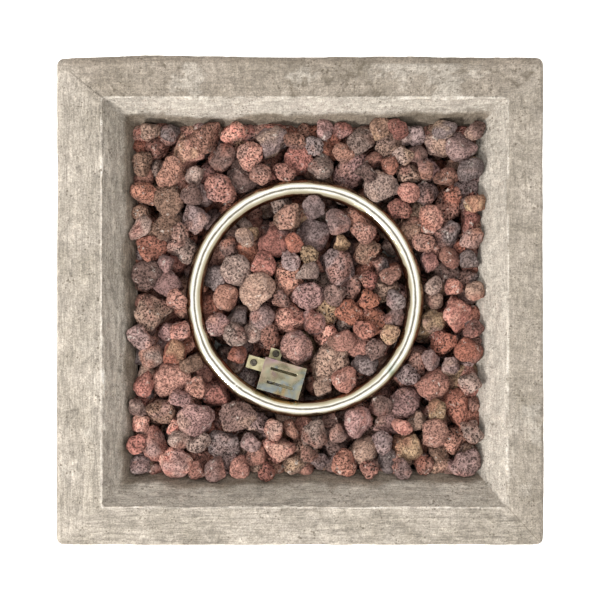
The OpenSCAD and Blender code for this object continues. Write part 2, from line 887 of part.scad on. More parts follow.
// One solid for each stone whose centre is between two heights
module stones(low, high) {
    picked = [for (s = poured()) if (s[2] >= low && s[2] < high) s];
    polyhedron(
        [for (k = [0:len(picked) - 1]) each stone_points(picked[k], k + floor(low))],
        [for (k = [0:len(picked) - 1], f = stone_faces) [for (c = f) c + 12 * k]]
    );
}

// Stones that lie on the pan
module lava_rocks_lower() {
    color([0.42, 0.3, 0.27])
        stones(0, layer_z);
}

// Stones of the visible layers
module lava_rocks_upper() {
    color([0.52, 0.36, 0.32])
        stones(layer_z, pit_h);
}

// ---- Controls ----

// Stainless plate that closes the front window
module control_panel() {
    color([0.75, 0.75, 0.75])
        difference() {
            box(
                [-panel_w / 2, pocket_y - panel_t, control_z - panel_h / 2],
                [panel_w / 2, pocket_y, control_z + panel_h / 2]
            );
            rod_y(stem_r + 2, valve_x, control_z, pocket_y - panel_t - eps, pocket_y + eps);
            rod_y(barrel_thread_r, igniter_x, control_z, pocket_y - panel_t - eps, pocket_y + eps);
            for (p = panel_screw_at)
                rod_y(2, p[0], p[1], pocket_y - panel_t - eps, pocket_y + eps);
            for (s = [-1, 1])
                rod_y(2, valve_x, control_z + s * valve_screw_dz, pocket_y - panel_t - eps, pocket_y + eps);
        }
}

// Screws that hold the panel in its recess
module panel_screws() {
    color([0.7, 0.7, 0.7])
        for (p = panel_screw_at)
            translate([p[0], pocket_y - panel_t, p[1]])
                rotate([90, 0, 0])
                    screw(2, 6);
}

// Brass valve with its plug bore, the hose thread below and the outlet behind
module valve_body() {
    flange_y = pocket_y + valve_flange_t;
    color([0.8, 0.68, 0.38])
        difference() {
            union() {
                rod_y(barrel_r, valve_x, control_z, flange_y - eps, valve_back);
                box(
                    [valve_x - barrel_r, pocket_y, control_z - valve_flange_dz],
                    [valve_x + barrel_r, flange_y, control_z + valve_flange_dz]
                );
                rod_y(6.5, valve_x, control_z, valve_back - eps, outlet_y);
                rod_z(6, [valve_x, inlet_y], control_z - 19, control_z - 8);
                rod_z(inlet_r, [valve_x, inlet_y], control_z - 19 - inlet_len, control_z - 19);
                rod_z(5, [valve_x, -196], control_z + 8, control_z + 22);
            }
            rod_y(stem_r + 0.3, valve_x, control_z, pocket_y - eps, pocket_y + 9);
            rod_y(plug_r, valve_x, control_z, pocket_y + 8, -192);
            rod_y(pipe_r - pipe_wall, valve_x, control_z, -193, outlet_y + eps);
            rod_z(3, [valve_x, inlet_y], control_z - 20 - inlet_len, control_z);
            rod_z(1.2, [valve_x, -196], control_z + 16, control_z + 23);
            for (s = [-1, 1])
                rod_y(2, valve_x, control_z + s * valve_screw_dz, pocket_y - eps, flange_y + eps);
        }
}

// Screws through the panel into the valve's flange
module valve_screws() {
    color([0.7, 0.7, 0.7])
        for (s = [-1, 1])
            translate([valve_x, pocket_y - panel_t, control_z + s * valve_screw_dz])
                rotate([90, 0, 0])
                    screw(2, 6);
}

// Plug that turns in the valve to meter the gas, with a socket for the stem
module valve_plug() {
    color([0.72, 0.6, 0.34])
        difference() {
            rod_y(plug_r - play, valve_x, control_z, pocket_y + 8.3, -192.3);
            rod_y(stem_r + play, valve_x, control_z, pocket_y + 8, -204);
            rod_y(2.5, valve_x, control_z, -200, -192);
            rod_z(2.5, [valve_x, inlet_y + 4], control_z - plug_r - eps, control_z);
        }
}

// Stem that slides in the plug and carries the knob
module valve_stem() {
    color([0.75, 0.75, 0.74])
        rod_y(stem_r, valve_x, control_z, knob_front + 5, -204 - knob_travel - 1);
}

// Black knob with a round skirt and a raised grip
module control_knob() {
    deep = knob_back - knob_front;
    skirt = 5;
    color([0.08, 0.08, 0.08])
        difference() {
            translate([valve_x, knob_back, control_z])
                rotate([90, 0, 0]) {
                    rotate_extrude()
                        polygon([[0, 0], [knob_d / 2, 0], [knob_d / 2, skirt - 1], [knob_d / 2 - 1, skirt],
                            [knob_d / 2 - 5, skirt + 2], [0, skirt + 2]]);
                    translate([-5, -knob_d / 2 + 2, skirt])
                        cube([10, knob_d - 4, deep - skirt]);
                }
            rod_y(stem_r, valve_x, control_z, knob_front + 5, knob_back + eps);
        }
}

// Igniter body, held in the panel by its flange in front and its nut behind
module igniter_housing() {
    front = pocket_y - panel_t;
    color([0.12, 0.12, 0.12])
        difference() {
            union() {
                rod_y(15, igniter_x, control_z, front - 3, front);
                rod_y(barrel_thread_r, igniter_x, control_z, front - eps, -200);
                rod_y(9, igniter_x, control_z, -201, -180);
                rod_y(2.5, igniter_x, control_z, -181, -172);
            }
            rod_y(
                button_r + play, igniter_x, control_z,
                front - 3 - eps, button_back + button_travel + 0.5
            );
        }
}

// Ring nut behind the panel
module igniter_nut() {
    color([0.15, 0.15, 0.15])
        difference() {
            translate([igniter_x, pocket_y, control_z])
                rotate([-90, 0, 0])
                    cylinder(r = 17, h = 6, $fn = 6);
            rod_y(barrel_thread_r, igniter_x, control_z, pocket_y - eps, pocket_y + 6 + eps);
        }
}

// Red push button of the igniter
module igniter_button() {
    front = pocket_y - panel_t - 3 - button_travel - 2;
    color([0.7, 0.1, 0.08])
        translate([igniter_x, button_back, control_z])
            rotate([90, 0, 0])
                rotate_extrude()
                    polygon([[0, 0], [button_r, 0], [button_r, button_back - front - 2],
                        [button_r - 2, button_back - front], [0, button_back - front]]);
}

// ---- Door ----

// Cast door panel that closes the back
module door_panel() {
    half = door_w / 2 - door_gap;
    color([0.72, 0.67, 0.6])
        difference() {
            box([-half, back_y - door_t, door_low + door_gap], [half, back_y, door_high - door_gap]);
            for (z0 = hinge_low, dz = hinge_screw_dz)
                rod_y(2, hinge_x + 19, z0 + dz, back_y - 12, back_y + eps);
            rod_y(3, knob_at[0], knob_at[1], back_y - 10, back_y + eps);
        }
}

// Steel sheet that stiffens the door's inner face
module door_backing() {
    half = door_w / 2 - door_gap - 7;
    back = back_y - door_t;
    color([0.5, 0.5, 0.51])
        box([-half, back - backing_t, door_low + 10], [half, back, door_high - 10]);
}

// Turned knob that the door is pulled by
module door_knob() {
    color([0.75, 0.75, 0.74]) {
        translate([knob_at[0], back_y, knob_at[1]])
            rotate([-90, 0, 0])
                rotate_extrude()
                    polygon([[0, 0], [6, 0], [5, 3], [5, 5], [12, 7], [12, 10], [10, 12], [0, 12]]);
        rod_y(3, knob_at[0], knob_at[1], back_y - 10, back_y + eps);
    }
}

// Steel plate that the magnet holds
module strike_plate() {
    face = back_y - door_t - backing_t;
    color([0.6, 0.6, 0.6])
        box(
            [catch_x[0] + 4, face - strike_t, catch_z[0]],
            [door_w / 2 - door_gap - 8, face, catch_z[1]]
        );
}

// Screws of the two door leaves
module door_screws() {
    color([0.7, 0.7, 0.7])
        for (z0 = hinge_low, dz = hinge_screw_dz)
            translate([hinge_x + 19, back_y + leaf_t, z0 + dz])
                rotate([-90, 0, 0])
                    screw(2, 11);
}

// One leaf of a hinge: a plate on side s of the pin, and its knuckles between given heights
module leaf(s, z0, spans, bore_r) {
    difference() {
        union() {
            translate([hinge_x, back_y, z0])
                box(
                    [s > 0 ? knuckle_r + 0.6 : -leaf_w, 0, 0],
                    [s > 0 ? leaf_w : -knuckle_r - 0.6, leaf_t, leaf_h]
                );
            for (h = spans) {
                translate([hinge_x, back_y, z0])
                    box(
                        [s > 0 ? 0 : -knuckle_r - eps, 0, h[0]],
                        [s > 0 ? knuckle_r + eps : 0, leaf_t, h[1]]
                    );
                rod_z(knuckle_r, [hinge_x, hinge_y], z0 + h[0], z0 + h[1]);
            }
        }
        rod_z(bore_r, [hinge_x, hinge_y], z0 - eps, z0 + leaf_h + eps);
        for (dz = hinge_screw_dz)
            rod_y(2, hinge_x + s * 19, z0 + dz, back_y - eps, back_y + leaf_t + eps);
    }
}

// Leaves screwed to the door, with the middle knuckle
module door_leaf(z0) {
    color([0.65, 0.65, 0.64])
        leaf(1, z0, [[20.3, 39.7]], pin_r + play);
}

// Leaves screwed to the column, with the outer knuckles
module frame_leaf(z0) {
    color([0.65, 0.65, 0.64])
        leaf(-1, z0, [[0, 20], [40, leaf_h]], pin_r);
}

// Headed pin held by the outer knuckles
module hinge_pin(z0) {
    color([0.7, 0.7, 0.7]) {
        rod_z(pin_r, [hinge_x, hinge_y], z0, z0 + leaf_h);
        rod_z(knuckle_r - 1, [hinge_x, hinge_y], z0 + leaf_h, z0 + leaf_h + 2);
    }
}

module door_leaf_lower() { door_leaf(hinge_low[0]); }
module door_leaf_upper() { door_leaf(hinge_low[1]); }
module frame_leaf_lower() { frame_leaf(hinge_low[0]); }
module frame_leaf_upper() { frame_leaf(hinge_low[1]); }
module hinge_pin_lower() { hinge_pin(hinge_low[0]); }
module hinge_pin_upper() { hinge_pin(hinge_low[1]); }

// Screws of the two frame leaves
module hinge_screws() {
    color([0.7, 0.7, 0.7])
        for (z0 = hinge_low, dz = hinge_screw_dz)
            translate([hinge_x - 19, back_y + leaf_t, z0 + dz])
                rotate([-90, 0, 0])
                    screw(2, 11);
}

// Magnetic catch on the inner face of the back wall, with its nose behind the door's edge
module catch_magnet() {
    low_y = inner_half - catch_deep;
    color([0.15, 0.15, 0.15])
        difference() {
            union() {
                box([catch_x[0], low_y, catch_z[0]], [catch_x[1], nose_y, catch_z[1]]);
                box([door_w / 2 + 1, low_y, catch_z[0]], [catch_x[1], inner_half, catch_z[1]]);
            }
            for (z = [catch_z[0] + 7, catch_z[1] - 7])
                rod_y(2, catch_screw_x, z, low_y - eps, inner_half + eps);
        }
}

// Screws that hold the catch
module catch_screws() {
    color([0.7, 0.7, 0.7])
        for (z = [catch_z[0] + 7, catch_z[1] - 7])
            translate([catch_screw_x, inner_half - catch_deep, z])
                rotate([90, 0, 0])
                    screw(2, catch_deep + 9);
}

top_casting();
column_casting();
floor_plate();
tank_ring();
foot_front_left();
foot_front_right();
foot_back_left();
foot_back_right();
foot_studs();
burner_pan();
pan_screws();
burner_ring();
ring_legs();
leg_screws();
feed_locknut();
air_mixer();
gas_orifice();
gas_pipe();
pipe_nuts();
heat_shield();
shield_screws();
pilot_bracket();
pilot_cover();
pilot_screws();
electrode_ceramic();
electrode_rod();
thermocouple_probe();
thermocouple_lead();
igniter_lead();
lava_rocks_lower();
lava_rocks_upper();
control_panel();
panel_screws();
valve_body();
valve_screws();
valve_plug();
valve_stem();
control_knob();
igniter_housing();
igniter_nut();
igniter_button();
door_panel();
door_backing();
door_knob();
strike_plate();
door_screws();
door_leaf_upper();
door_leaf_lower();
frame_leaf_upper();
frame_leaf_lower();
hinge_pin_upper();
hinge_pin_lower();
hinge_screws();
catch_magnet();
catch_screws();
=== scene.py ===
import bpy
import numpy as np
from math import pi
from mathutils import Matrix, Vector


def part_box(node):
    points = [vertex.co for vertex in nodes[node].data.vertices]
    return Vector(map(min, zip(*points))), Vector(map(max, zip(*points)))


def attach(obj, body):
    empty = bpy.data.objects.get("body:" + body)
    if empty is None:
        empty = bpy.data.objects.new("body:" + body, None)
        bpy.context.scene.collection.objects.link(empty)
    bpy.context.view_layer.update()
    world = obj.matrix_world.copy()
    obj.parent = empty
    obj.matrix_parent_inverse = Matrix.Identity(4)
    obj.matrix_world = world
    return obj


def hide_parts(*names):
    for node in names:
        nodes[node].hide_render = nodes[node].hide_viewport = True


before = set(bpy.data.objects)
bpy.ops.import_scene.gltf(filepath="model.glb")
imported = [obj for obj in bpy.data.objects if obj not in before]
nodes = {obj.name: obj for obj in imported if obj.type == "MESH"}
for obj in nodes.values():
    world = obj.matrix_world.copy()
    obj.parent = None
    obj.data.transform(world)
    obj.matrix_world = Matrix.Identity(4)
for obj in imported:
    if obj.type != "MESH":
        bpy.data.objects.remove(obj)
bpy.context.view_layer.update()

# Camera: hung on a boom over the middle of the bowl and aimed straight down through a portrait lens, so that
# the rim is square to the view and the four walls of the bowl open evenly.
rim_low, rim_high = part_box("top_casting")
overhead = bpy.data.cameras.new("overhead")
overhead.sensor_width = 36
overhead.lens = 86.1
camera = bpy.data.objects.new("overhead", overhead)
camera.location = (0, 0.0016, rim_high.z + 1.5)
bpy.context.collection.objects.link(camera)
bpy.context.scene.camera = camera
bpy.context.scene.view_settings.view_transform = "Standard"


# Studio: a white dome, brightest overhead round the dark spot where the camera hangs, one softbox high in
# the front left corner, and a pale floor with a glow of its own that stays white round the feet.
def colour(code):
    """Linear RGBA of an sRGB hex value: a channel over 12.92 where it is dark, else the 2.4 power curve."""
    s = np.array([int(code[i:i + 2], 16) for i in (1, 3, 5)]) / 255
    return (*np.where(s <= 0.04045, s / 12.92, ((s + 0.055) / 1.055) ** 2.4), 1)


def add(tree, kind, sockets={}, stops=(), **settings):
    """Adds a node. Settings are its own options, sockets its inputs by name or place, each set to a value or
    linked from a node, and stops the places and hex colours of a ramp."""
    made = tree.nodes.new("ShaderNode" + kind)
    for name, value in settings.items():
        setattr(made, name, value)
    for name, value in sockets.items():
        if isinstance(value, bpy.types.Node):
            value = value.outputs[0]
        if isinstance(value, bpy.types.NodeSocket):
            tree.links.new(value, made.inputs[name])
        else:
            made.inputs[name].default_value = value
    for end, (place, code) in enumerate(stops):
        mark = made.color_ramp.elements[end] if end < 2 else made.color_ramp.elements.new(place)
        mark.position = place
        mark.color = colour(code)
    return made


studio = bpy.data.worlds.new("studio")
studio.use_nodes = True
bpy.context.scene.world = studio
tree = studio.node_tree
tree.nodes.clear()
upward = add(tree, "SeparateXYZ", {0: add(tree, "TexCoord")})
dome = add(tree, "ValToRGB", {0: upward.outputs["Z"]}, stops=[
    (0.0, "#D6D4CF"), (1.0, "#6E6A60"), (0.58, "#DCD9D3"),
    (0.76, "#FFFFFF"), (0.952, "#FFFFFF"), (0.986, "#99948A")])
glow = add(tree, "Background", {"Color": dome, "Strength": 1.5})
add(tree, "OutputWorld", {0: glow})

softbox = bpy.data.lights.new("softbox", "AREA")
softbox.size = 0.42
softbox.energy = 78
softbox.color = (1.0, 0.985, 0.96)
lamp = bpy.data.objects.new("softbox", softbox)
lamp.location = (-1.52, -1.42, rim_high.z + 1.80)
lamp.rotation_euler = (lamp.location - Vector((0, 0, rim_high.z))).to_track_quat("Z", "Y").to_euler()
bpy.context.collection.objects.link(lamp)


def finish_of(name, base, roughness, metallic=0.0, **sockets):
    """A new material with a Principled shader whose constant sockets are set. Returns the material, its
    tree, its shader and the object coordinates."""
    material = bpy.data.materials.new(name)
    material.use_nodes = True
    tree = material.node_tree
    shader = tree.nodes["Principled BSDF"]
    shader.inputs["Base Color"].default_value = colour(base)
    shader.inputs["Roughness"].default_value = roughness
    shader.inputs["Metallic"].default_value = metallic
    for socket, value in sockets.items():
        shader.inputs[socket.replace("_", " ")].default_value = value
    return material, tree, shader, add(tree, "TexCoord").outputs["Object"]


def put(name, points, faces, material, body):
    """Fills a mesh from an array of points and an array of faces of three or four corners, smooth shaded,
    and gives it its finish and its body."""
    mesh = bpy.data.meshes.new(name)
    corners = faces.shape[1]
    mesh.vertices.add(len(points))
    mesh.vertices.foreach_set("co", np.asarray(points, np.float32).ravel())
    mesh.loops.add(faces.size)
    mesh.loops.foreach_set("vertex_index", faces.astype(np.int32).ravel())
    mesh.polygons.add(len(faces))
    mesh.polygons.foreach_set("loop_start", np.arange(0, faces.size, corners, dtype=np.int32))
    mesh.update(calc_edges=True)
    mesh.validate()
    mesh.shade_smooth()
    mesh.materials.append(material)
    piece = bpy.data.objects.new(name, mesh)
    bpy.context.collection.objects.link(piece)
    if body:
        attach(piece, body)
    return piece


# Floor: a seamless white studio floor, which isn't part of the pit.
white, tree, shader, place = finish_of("studio_floor", "#F4F3F1", 0.9)
shader.inputs["Emission Color"].default_value = (1, 1, 1, 1)
shader.inputs["Emission Strength"].default_value = 0.55
side = 4.0
corners = np.array([[-side, -side, 0], [side, -side, 0], [side, side, 0], [-side, side, 0]])
floor = put("studio_floor", corners, np.array([[0, 1, 2, 3]]), white, None)


# Cast stone: glass fibre concrete, pressed in a mould taken from split slate and stained. It is matt, with a
# chalky face, sandy specks, fine grain along each rail, pinholes darkened by painted shade, and brown stain
# in the cracks and hollows, deepened there by painted shade.
def chance(i, j, k, seed):
    """A repeatable number from 0 to 1 for each lattice point: its whole coordinates times large odd numbers
    are added, and the bits are folded over and mixed twice."""
    n = (i * 374761393 + j * 668265263 + k * 1440662683 + seed * 974634777) & 0xFFFFFFFF
    n = ((n ^ (n >> 13)) * 1274126177) & 0xFFFFFFFF
    return ((n ^ (n >> 16)) & 0xFFFF) / 65535


def noise(points, size, seed=0, octaves=1):
    """Value noise from -1 to 1: lattice values a size apart are blended by smooth steps along each axis, and
    each further octave halves both the spacing and the height."""
    p = points / np.asarray(size, float)
    total, weight, height = 0.0, 0.0, 1.0
    for octave in range(octaves):
        cell = np.floor(p).astype(np.int64)
        f = p - cell
        f = f * f * (3 - 2 * f)
        value = 0.0
        for dx in (0, 1):
            for dy in (0, 1):
                for dz in (0, 1):
                    share = abs(1 - dx - f[..., 0]) * abs(1 - dy - f[..., 1]) * abs(1 - dz - f[..., 2])
                    value = value + share * chance(
                        cell[..., 0] + dx, cell[..., 1] + dy, cell[..., 2] + dz, seed * 31 + octave)
        total = total + height * (2 * value - 1)
        weight += height
        height *= 0.5
        p = p * 2.03 + 17.3
    return total / weight


def step_up(value, low, high):
    """Rises smoothly from 0 at low to 1 at high, by the cubic 3t squared less 2t cubed."""
    t = np.clip((value - low) / (high - low), 0, 1)
    return t * t * (3 - 2 * t)


def slate(points, size, seed):
    """Split-slate relief in metres and its cracks, with painted shade, from 0 to 1: warped noise is cut into
    flat steps with steep risers, a crack runs wherever a second noise crosses zero, and, fainter, painted
    shade runs along each riser."""
    warp = np.stack([noise(points, size * 0.5, seed + k, 3) for k in (1, 2, 3)], -1)
    bent = points + 0.22 * size * warp
    level = 6.5 * noise(bent, size * 1.3, seed, 5)
    tread = np.floor(level)
    rise = step_up(level - tread, 0.70, 1.0)
    steps = tread + rise
    crack_and_shade = 1 - step_up(abs(noise(bent, size, seed + 7, 4)), 0.0, 0.055)
    crack_and_shade = crack_and_shade * step_up(noise(points, size * 1.7, seed + 8), 0.0, 0.35)
    # Painted shade: each riser is darkened, fainter than a crack, to stand in for the shading of its slope.
    crack_and_shade = np.maximum(crack_and_shade, 1.6 * rise * (1 - rise))
    return 0.00034 * steps - 0.0006 * crack_and_shade, crack_and_shade


def mark(piece, name, values):
    """Stores four numbers for each point of a piece, for its material to read."""
    layer = piece.data.color_attributes.new(name, "FLOAT_COLOR", "POINT")
    layer.data.foreach_set("color", np.asarray(values, np.float32).ravel())


def cast_stone(name, pale, dark, along, across, relief):
    """The stone's material. Two colours are mixed by drifting blotches, mottling, grain and specks, then the
    piece's own marks are laid on: crack with painted shade, stain with painted shade, wear with painted
    light, and the share of the grain that runs across instead of along. Thin scratches, dark or chalky,
    follow the lines where a noise is at its middle value, and painted shade darkens the pinholes. The grain
    has a size in millimetres on each axis, every other pattern's size is in metres under a 1, and the bump is
    relief metres deep."""
    material, tree, shader, place = finish_of(name, pale, 0.88, Specular_IOR_Level=0.25)
    marks = add(tree, "Attribute", attribute_name="marks")
    split = add(tree, "SeparateColor", {0: marks})
    blotch = add(tree, "TexNoise", {"Vector": place, "Scale": 1 / 0.055, "Detail": 7.0, "Roughness": 0.65})
    mottle = add(tree, "TexNoise", {
        "Vector": place, "Scale": 1 / 0.013, "Detail": 6.0, "Roughness": 0.7, "Distortion": 1.3})
    rails = [add(tree, "TexNoise", {
        "Vector": add(tree, "Mapping", {"Vector": place, "Scale": [1000 / size for size in grain]}),
        "Scale": 1.0, "Detail": 5.0, "Roughness": 0.65, "Distortion": 1.1}) for grain in (along, across)]
    blend = add(tree, "MixRGB", {"Fac": marks.outputs["Alpha"], "Color1": rails[0], "Color2": rails[1]})
    grain = add(tree, "ValToRGB", {0: blend}, stops=[(0.34, "#1C1C1C"), (0.66, "#F4F4F4")])
    patch = add(tree, "ValToRGB", {0: mottle}, stops=[(0.36, "#202020"), (0.64, "#F0F0F0")])
    speck = add(tree, "TexNoise", {"Vector": place, "Scale": 1 / 0.0017, "Detail": 3.0, "Roughness": 0.75})
    sandy = add(tree, "ValToRGB", {0: speck}, stops=[(0.36, "#181818"), (0.64, "#F8F8F8")])

    vein = add(tree, "TexNoise", {
        "Vector": place, "Scale": 1 / 0.022, "Detail": 5.0, "Roughness": 0.6, "Distortion": 0.8})
    past = add(tree, "Math", {0: vein, 1: 0.5}, operation="SUBTRACT")
    off = add(tree, "Math", {0: past}, operation="ABSOLUTE")
    line = add(tree, "ValToRGB", {0: off}, stops=[(0.0, "#FFFFFF"), (0.016, "#000000")])
    where = add(tree, "ValToRGB", {0: mottle}, stops=[(0.50, "#000000"), (0.62, "#FFFFFF")])
    scratch = add(tree, "Math", {0: line, 1: where}, operation="MULTIPLY")
    hairline = add(tree, "TexNoise", {
        "Vector": place, "Scale": 1 / 0.010, "Detail": 4.0, "Roughness": 0.6, "Distortion": 1.6})
    aside = add(tree, "Math", {0: hairline, 1: 0.5}, operation="SUBTRACT")
    apart = add(tree, "Math", {0: aside}, operation="ABSOLUTE")
    chalk = add(tree, "ValToRGB", {0: apart}, stops=[(0.0, "#8A8A8A"), (0.014, "#000000")])
    pores = add(tree, "TexVoronoi", {"Vector": place, "Scale": 1 / 0.0044, "Randomness": 1.0})
    scatter = add(tree, "TexNoise", {"Vector": place, "Scale": 1 / 0.018, "Detail": 3.0})
    reach = add(tree, "Math", {0: scatter, 1: -0.38})
    hole = add(tree, "Math", {0: reach, 1: pores}, operation="GREATER_THAN")

    base = add(tree, "ValToRGB", {0: blotch}, stops=[(0.34, dark), (0.64, pale)])
    # Green mark: brown stain, and painted shade at the foot of the bowl's walls and on its back outer edge.
    stained_and_shaded = add(tree, "MixRGB", {
        "Fac": split.outputs["Green"], "Color1": base, "Color2": colour("#8C7454")}, blend_type="MULTIPLY")
    # Blue mark: pale wear, and painted light on the raised slate and on the lit walls of the bowl.
    worn_and_lit = add(tree, "MixRGB", {
        "Fac": split.outputs["Blue"], "Color1": stained_and_shaded, "Color2": colour("#CFC8BE")})
    mottled = add(tree, "MixRGB", {"Fac": 0.24, "Color1": worn_and_lit, "Color2": patch}, blend_type="OVERLAY")
    sanded = add(tree, "MixRGB", {"Fac": 0.34, "Color1": mottled, "Color2": grain}, blend_type="OVERLAY")
    specked = add(tree, "MixRGB", {"Fac": 0.30, "Color1": sanded, "Color2": sandy}, blend_type="OVERLAY")
    scraped = add(tree, "MixRGB", {
        "Fac": add(tree, "Math", {0: chalk, 1: patch}, operation="MULTIPLY"),
        "Color1": specked, "Color2": colour("#E6E0D6")})
    # Red mark: dark cracks, and painted shade down the slate's risers.
    cracked_and_shaded = add(tree, "MixRGB", {
        "Fac": split.outputs["Red"], "Color1": scraped, "Color2": colour("#5C5346")})
    lined = add(tree, "MixRGB", {
        "Fac": add(tree, "Math", {0: scratch, 1: 0.6}, operation="MULTIPLY"),
        "Color1": cracked_and_shaded, "Color2": colour("#60574B")})
    # Painted shade: the pinholes are darkened.
    pitted_and_shaded = add(tree, "MixRGB", {
        "Fac": add(tree, "Math", {0: hole, 1: 0.6}, operation="MULTIPLY"),
        "Color1": lined, "Color2": colour("#544A3D")})
    tree.links.new(pitted_and_shaded.outputs[0], shader.inputs["Base Color"])

    grit = add(tree, "Math", {0: sandy, 1: 0.5, 2: grain}, operation="MULTIPLY_ADD")
    lumps = add(tree, "Math", {0: patch, 1: 1.1, 2: grit}, operation="MULTIPLY_ADD")
    cuts = add(tree, "Math", {0: hole, 1: scratch}, operation="ADD")
    carved = add(tree, "Math", {0: lumps, 1: cuts}, operation="SUBTRACT")
    bump = add(tree, "Bump", {"Height": carved, "Strength": 0.65, "Distance": relief})
    tree.links.new(bump.outputs[0], shader.inputs["Normal"])
    return material


rim_stone = cast_stone(
    "cast_stone_rim", "#B4ABA0", "#958D81", (29.4, 2.63, 16.7), (2.63, 29.4, 16.7), 0.0010)


# Bowl casting: the square top of the pit, cast in one with its four sloping walls. Its rails are mitred at
# the corners, the back rail is the roughest, and the outer edges are dressed by hand, softer at the back.
def ring_turn(first, last, count, level_first):
    """Rings along a quarter of an ellipse from first to last, level at the start when level_first is true."""
    t = np.linspace(0, pi / 2, count, endpoint=False)[:, None]
    quick, slow = np.sin(t), 1 - np.cos(t)
    is_z = np.array([False, False, False, False, True, False])
    share = np.where(is_z, slow, quick) if level_first else np.where(is_z, quick, slow)
    return first + (last - first) * share


def ring_run(first, last, count):
    """Rings a constant step apart from first up to, and without, last."""
    return first + (last - first) * np.linspace(0, 1, count, endpoint=False)[:, None]


def around(rings, along, turn):
    """Points of each ring, which is a rounded rectangle given by x0, x1, y0, y1, z and its corner radius:
    along points on each side and turn on each corner. Also returns each column's side, 0 at the front."""
    k = np.repeat(np.arange(4), along + turn)
    i = np.tile(np.arange(along + turn), 4)
    on_corner = i < turn
    angle = pi + pi / 2 * k + pi / 2 * np.where(on_corner, i / turn, 1)
    share = np.where(on_corner, 0, (i - turn) / along)
    x0, x1, y0, y1, z, r = (rings[:, c][:, None] for c in range(6))
    xs = np.concatenate([x0 + r, x1 - r, x1 - r, x0 + r], 1)
    ys = np.concatenate([y0 + r, y0 + r, y1 - r, y1 - r], 1)
    after = (k + 1) % 4
    x = xs[:, k] * (1 - share) + xs[:, after] * share + r * np.cos(angle)
    y = ys[:, k] * (1 - share) + ys[:, after] * share + r * np.sin(angle)
    side = np.where(on_corner & (i < turn / 2), (k + 3) % 4, k)
    return np.stack([x, y, np.broadcast_to(z, x.shape)], -1), side


def grid_faces(rows, columns, close_rows):
    """Four-cornered faces of a grid whose columns close on themselves, and its rows too when asked."""
    r = np.arange(rows if close_rows else rows - 1)[:, None]
    c = np.arange(columns)[None, :]
    up, on = (r + 1) % rows, (c + 1) % columns
    quad = np.broadcast_arrays(r * columns + c, r * columns + on, up * columns + on, up * columns + c)
    return np.stack(quad, -1).reshape(-1, 4)


def outward(points):
    """Unit normals of a grid closed both ways: the cross product of its steps along columns and rows."""
    n = np.cross(np.roll(points, -1, 1) - np.roll(points, 1, 1),
                 np.roll(points, -1, 0) - np.roll(points, 1, 0))
    return n / np.maximum(np.linalg.norm(n, axis=-1, keepdims=True), 1e-12)


top, under = rim_high.z, rim_low.z
half = rim_high.x
side_points, corner_points = 232, 8
outer_foot = np.array([-half, half, -half, half, under, 0.0075])
outer_top = outer_foot + [0, 0, 0, 0, top - under - 0.006, 0]
rail_outer = outer_top + [0.006, -0.004, 0.003, -0.009, 0.006, -0.003]
opening = np.array([-0.2062, 0.216, -0.2138, 0.212, top - 0.0022, 0.003])
rail_inner = opening + [-0.0018, 0.0018, -0.0018, 0.0018, 0.0022, 0.001]
throat = np.array([-0.176, 0.190, -0.182, 0.188, under + 0.005, 0.004])
lip = throat + [0, 0, 0, 0, -0.005, 0]
zones = [
    ("outer", ring_run(outer_foot, outer_top, 15)),
    ("edge", ring_turn(outer_top, rail_outer, 6, False)),
    ("rail", ring_run(rail_outer, rail_inner, 24)),
    ("arris", ring_turn(rail_inner, opening, 4, True)),
    ("wall", ring_run(opening, throat, 34)),
    ("hidden", ring_run(throat, lip, 2)),
    ("hidden", ring_run(lip, outer_foot, 4))]
zone = np.concatenate([[name] * len(rings) for name, rings in zones])[:, None]
shape, side = around(np.concatenate([rings for name, rings in zones]), side_points, corner_points)
side = side[None, :]
front, right, back, left = (side == s for s in range(4))

# Its relief: split slate in two sizes, ripples along each rail and a flowing, softer face down the walls.
# Then the rim is let out a little at the edges, and its back rail bulges by up to 3 mm, as castings do.
slate_big, crack_and_shade_big = slate(shape, 0.042, 11)
slate_small, crack_and_shade_small = slate(shape, 0.017, 23)
hollow = noise(shape, 0.15, 3, 2)
ripple_x = noise(shape, (0.05, 0.009, 0.02), 5, 3) * (front | back)
ripple_y = noise(shape, (0.009, 0.05, 0.02), 6, 3) * (left | right)
ripple = ripple_x + ripple_y
flow = noise(shape + 0.01 * noise(shape, 0.03, 8, 2)[..., None], 0.026, 9, 4)
fine = noise(shape, 0.006, 12, 3)
rough = np.where(back, 1.7, np.where(front, 1.0, np.where(right, 0.9, 0.7)))
top_zone = (zone == "rail") | (zone == "edge") | (zone == "arris")
top_relief = rough * (slate_big + 0.7 * slate_small) + 0.00035 * ripple + 0.00022 * fine
wall_relief = 1.5 * slate_big + 0.8 * slate_small + 0.0020 * flow + 0.0003 * fine
outer_relief = 0.35 * slate_big + 0.0002 * ripple + 0.0001 * fine
relief = np.where(top_zone, top_relief,
                  np.where(zone == "wall", wall_relief, np.where(zone == "outer", outer_relief, 0)))
relief = relief * np.where(zone == "edge", 0.35, 1)
relief = relief + np.where(zone == "hidden", 0, 0.0007 * hollow)
shape = shape + outward(shape) * relief[..., None]
rim_reach = np.abs(shape[..., :2]).max(-1)
flare = 0.0045 * step_up(rim_reach, 0.225, 0.250)
shape[..., :2] *= (1 + flare)[..., None]
bulge = 0.0012 + 0.0018 * np.exp(-((shape[..., 0] + 0.13) / 0.07) ** 2)
at_back = step_up(shape[..., 1], 0.225, 0.250) * step_up(0.25 - abs(shape[..., 0]), 0.0, 0.02)
shape[..., 1] += bulge * at_back

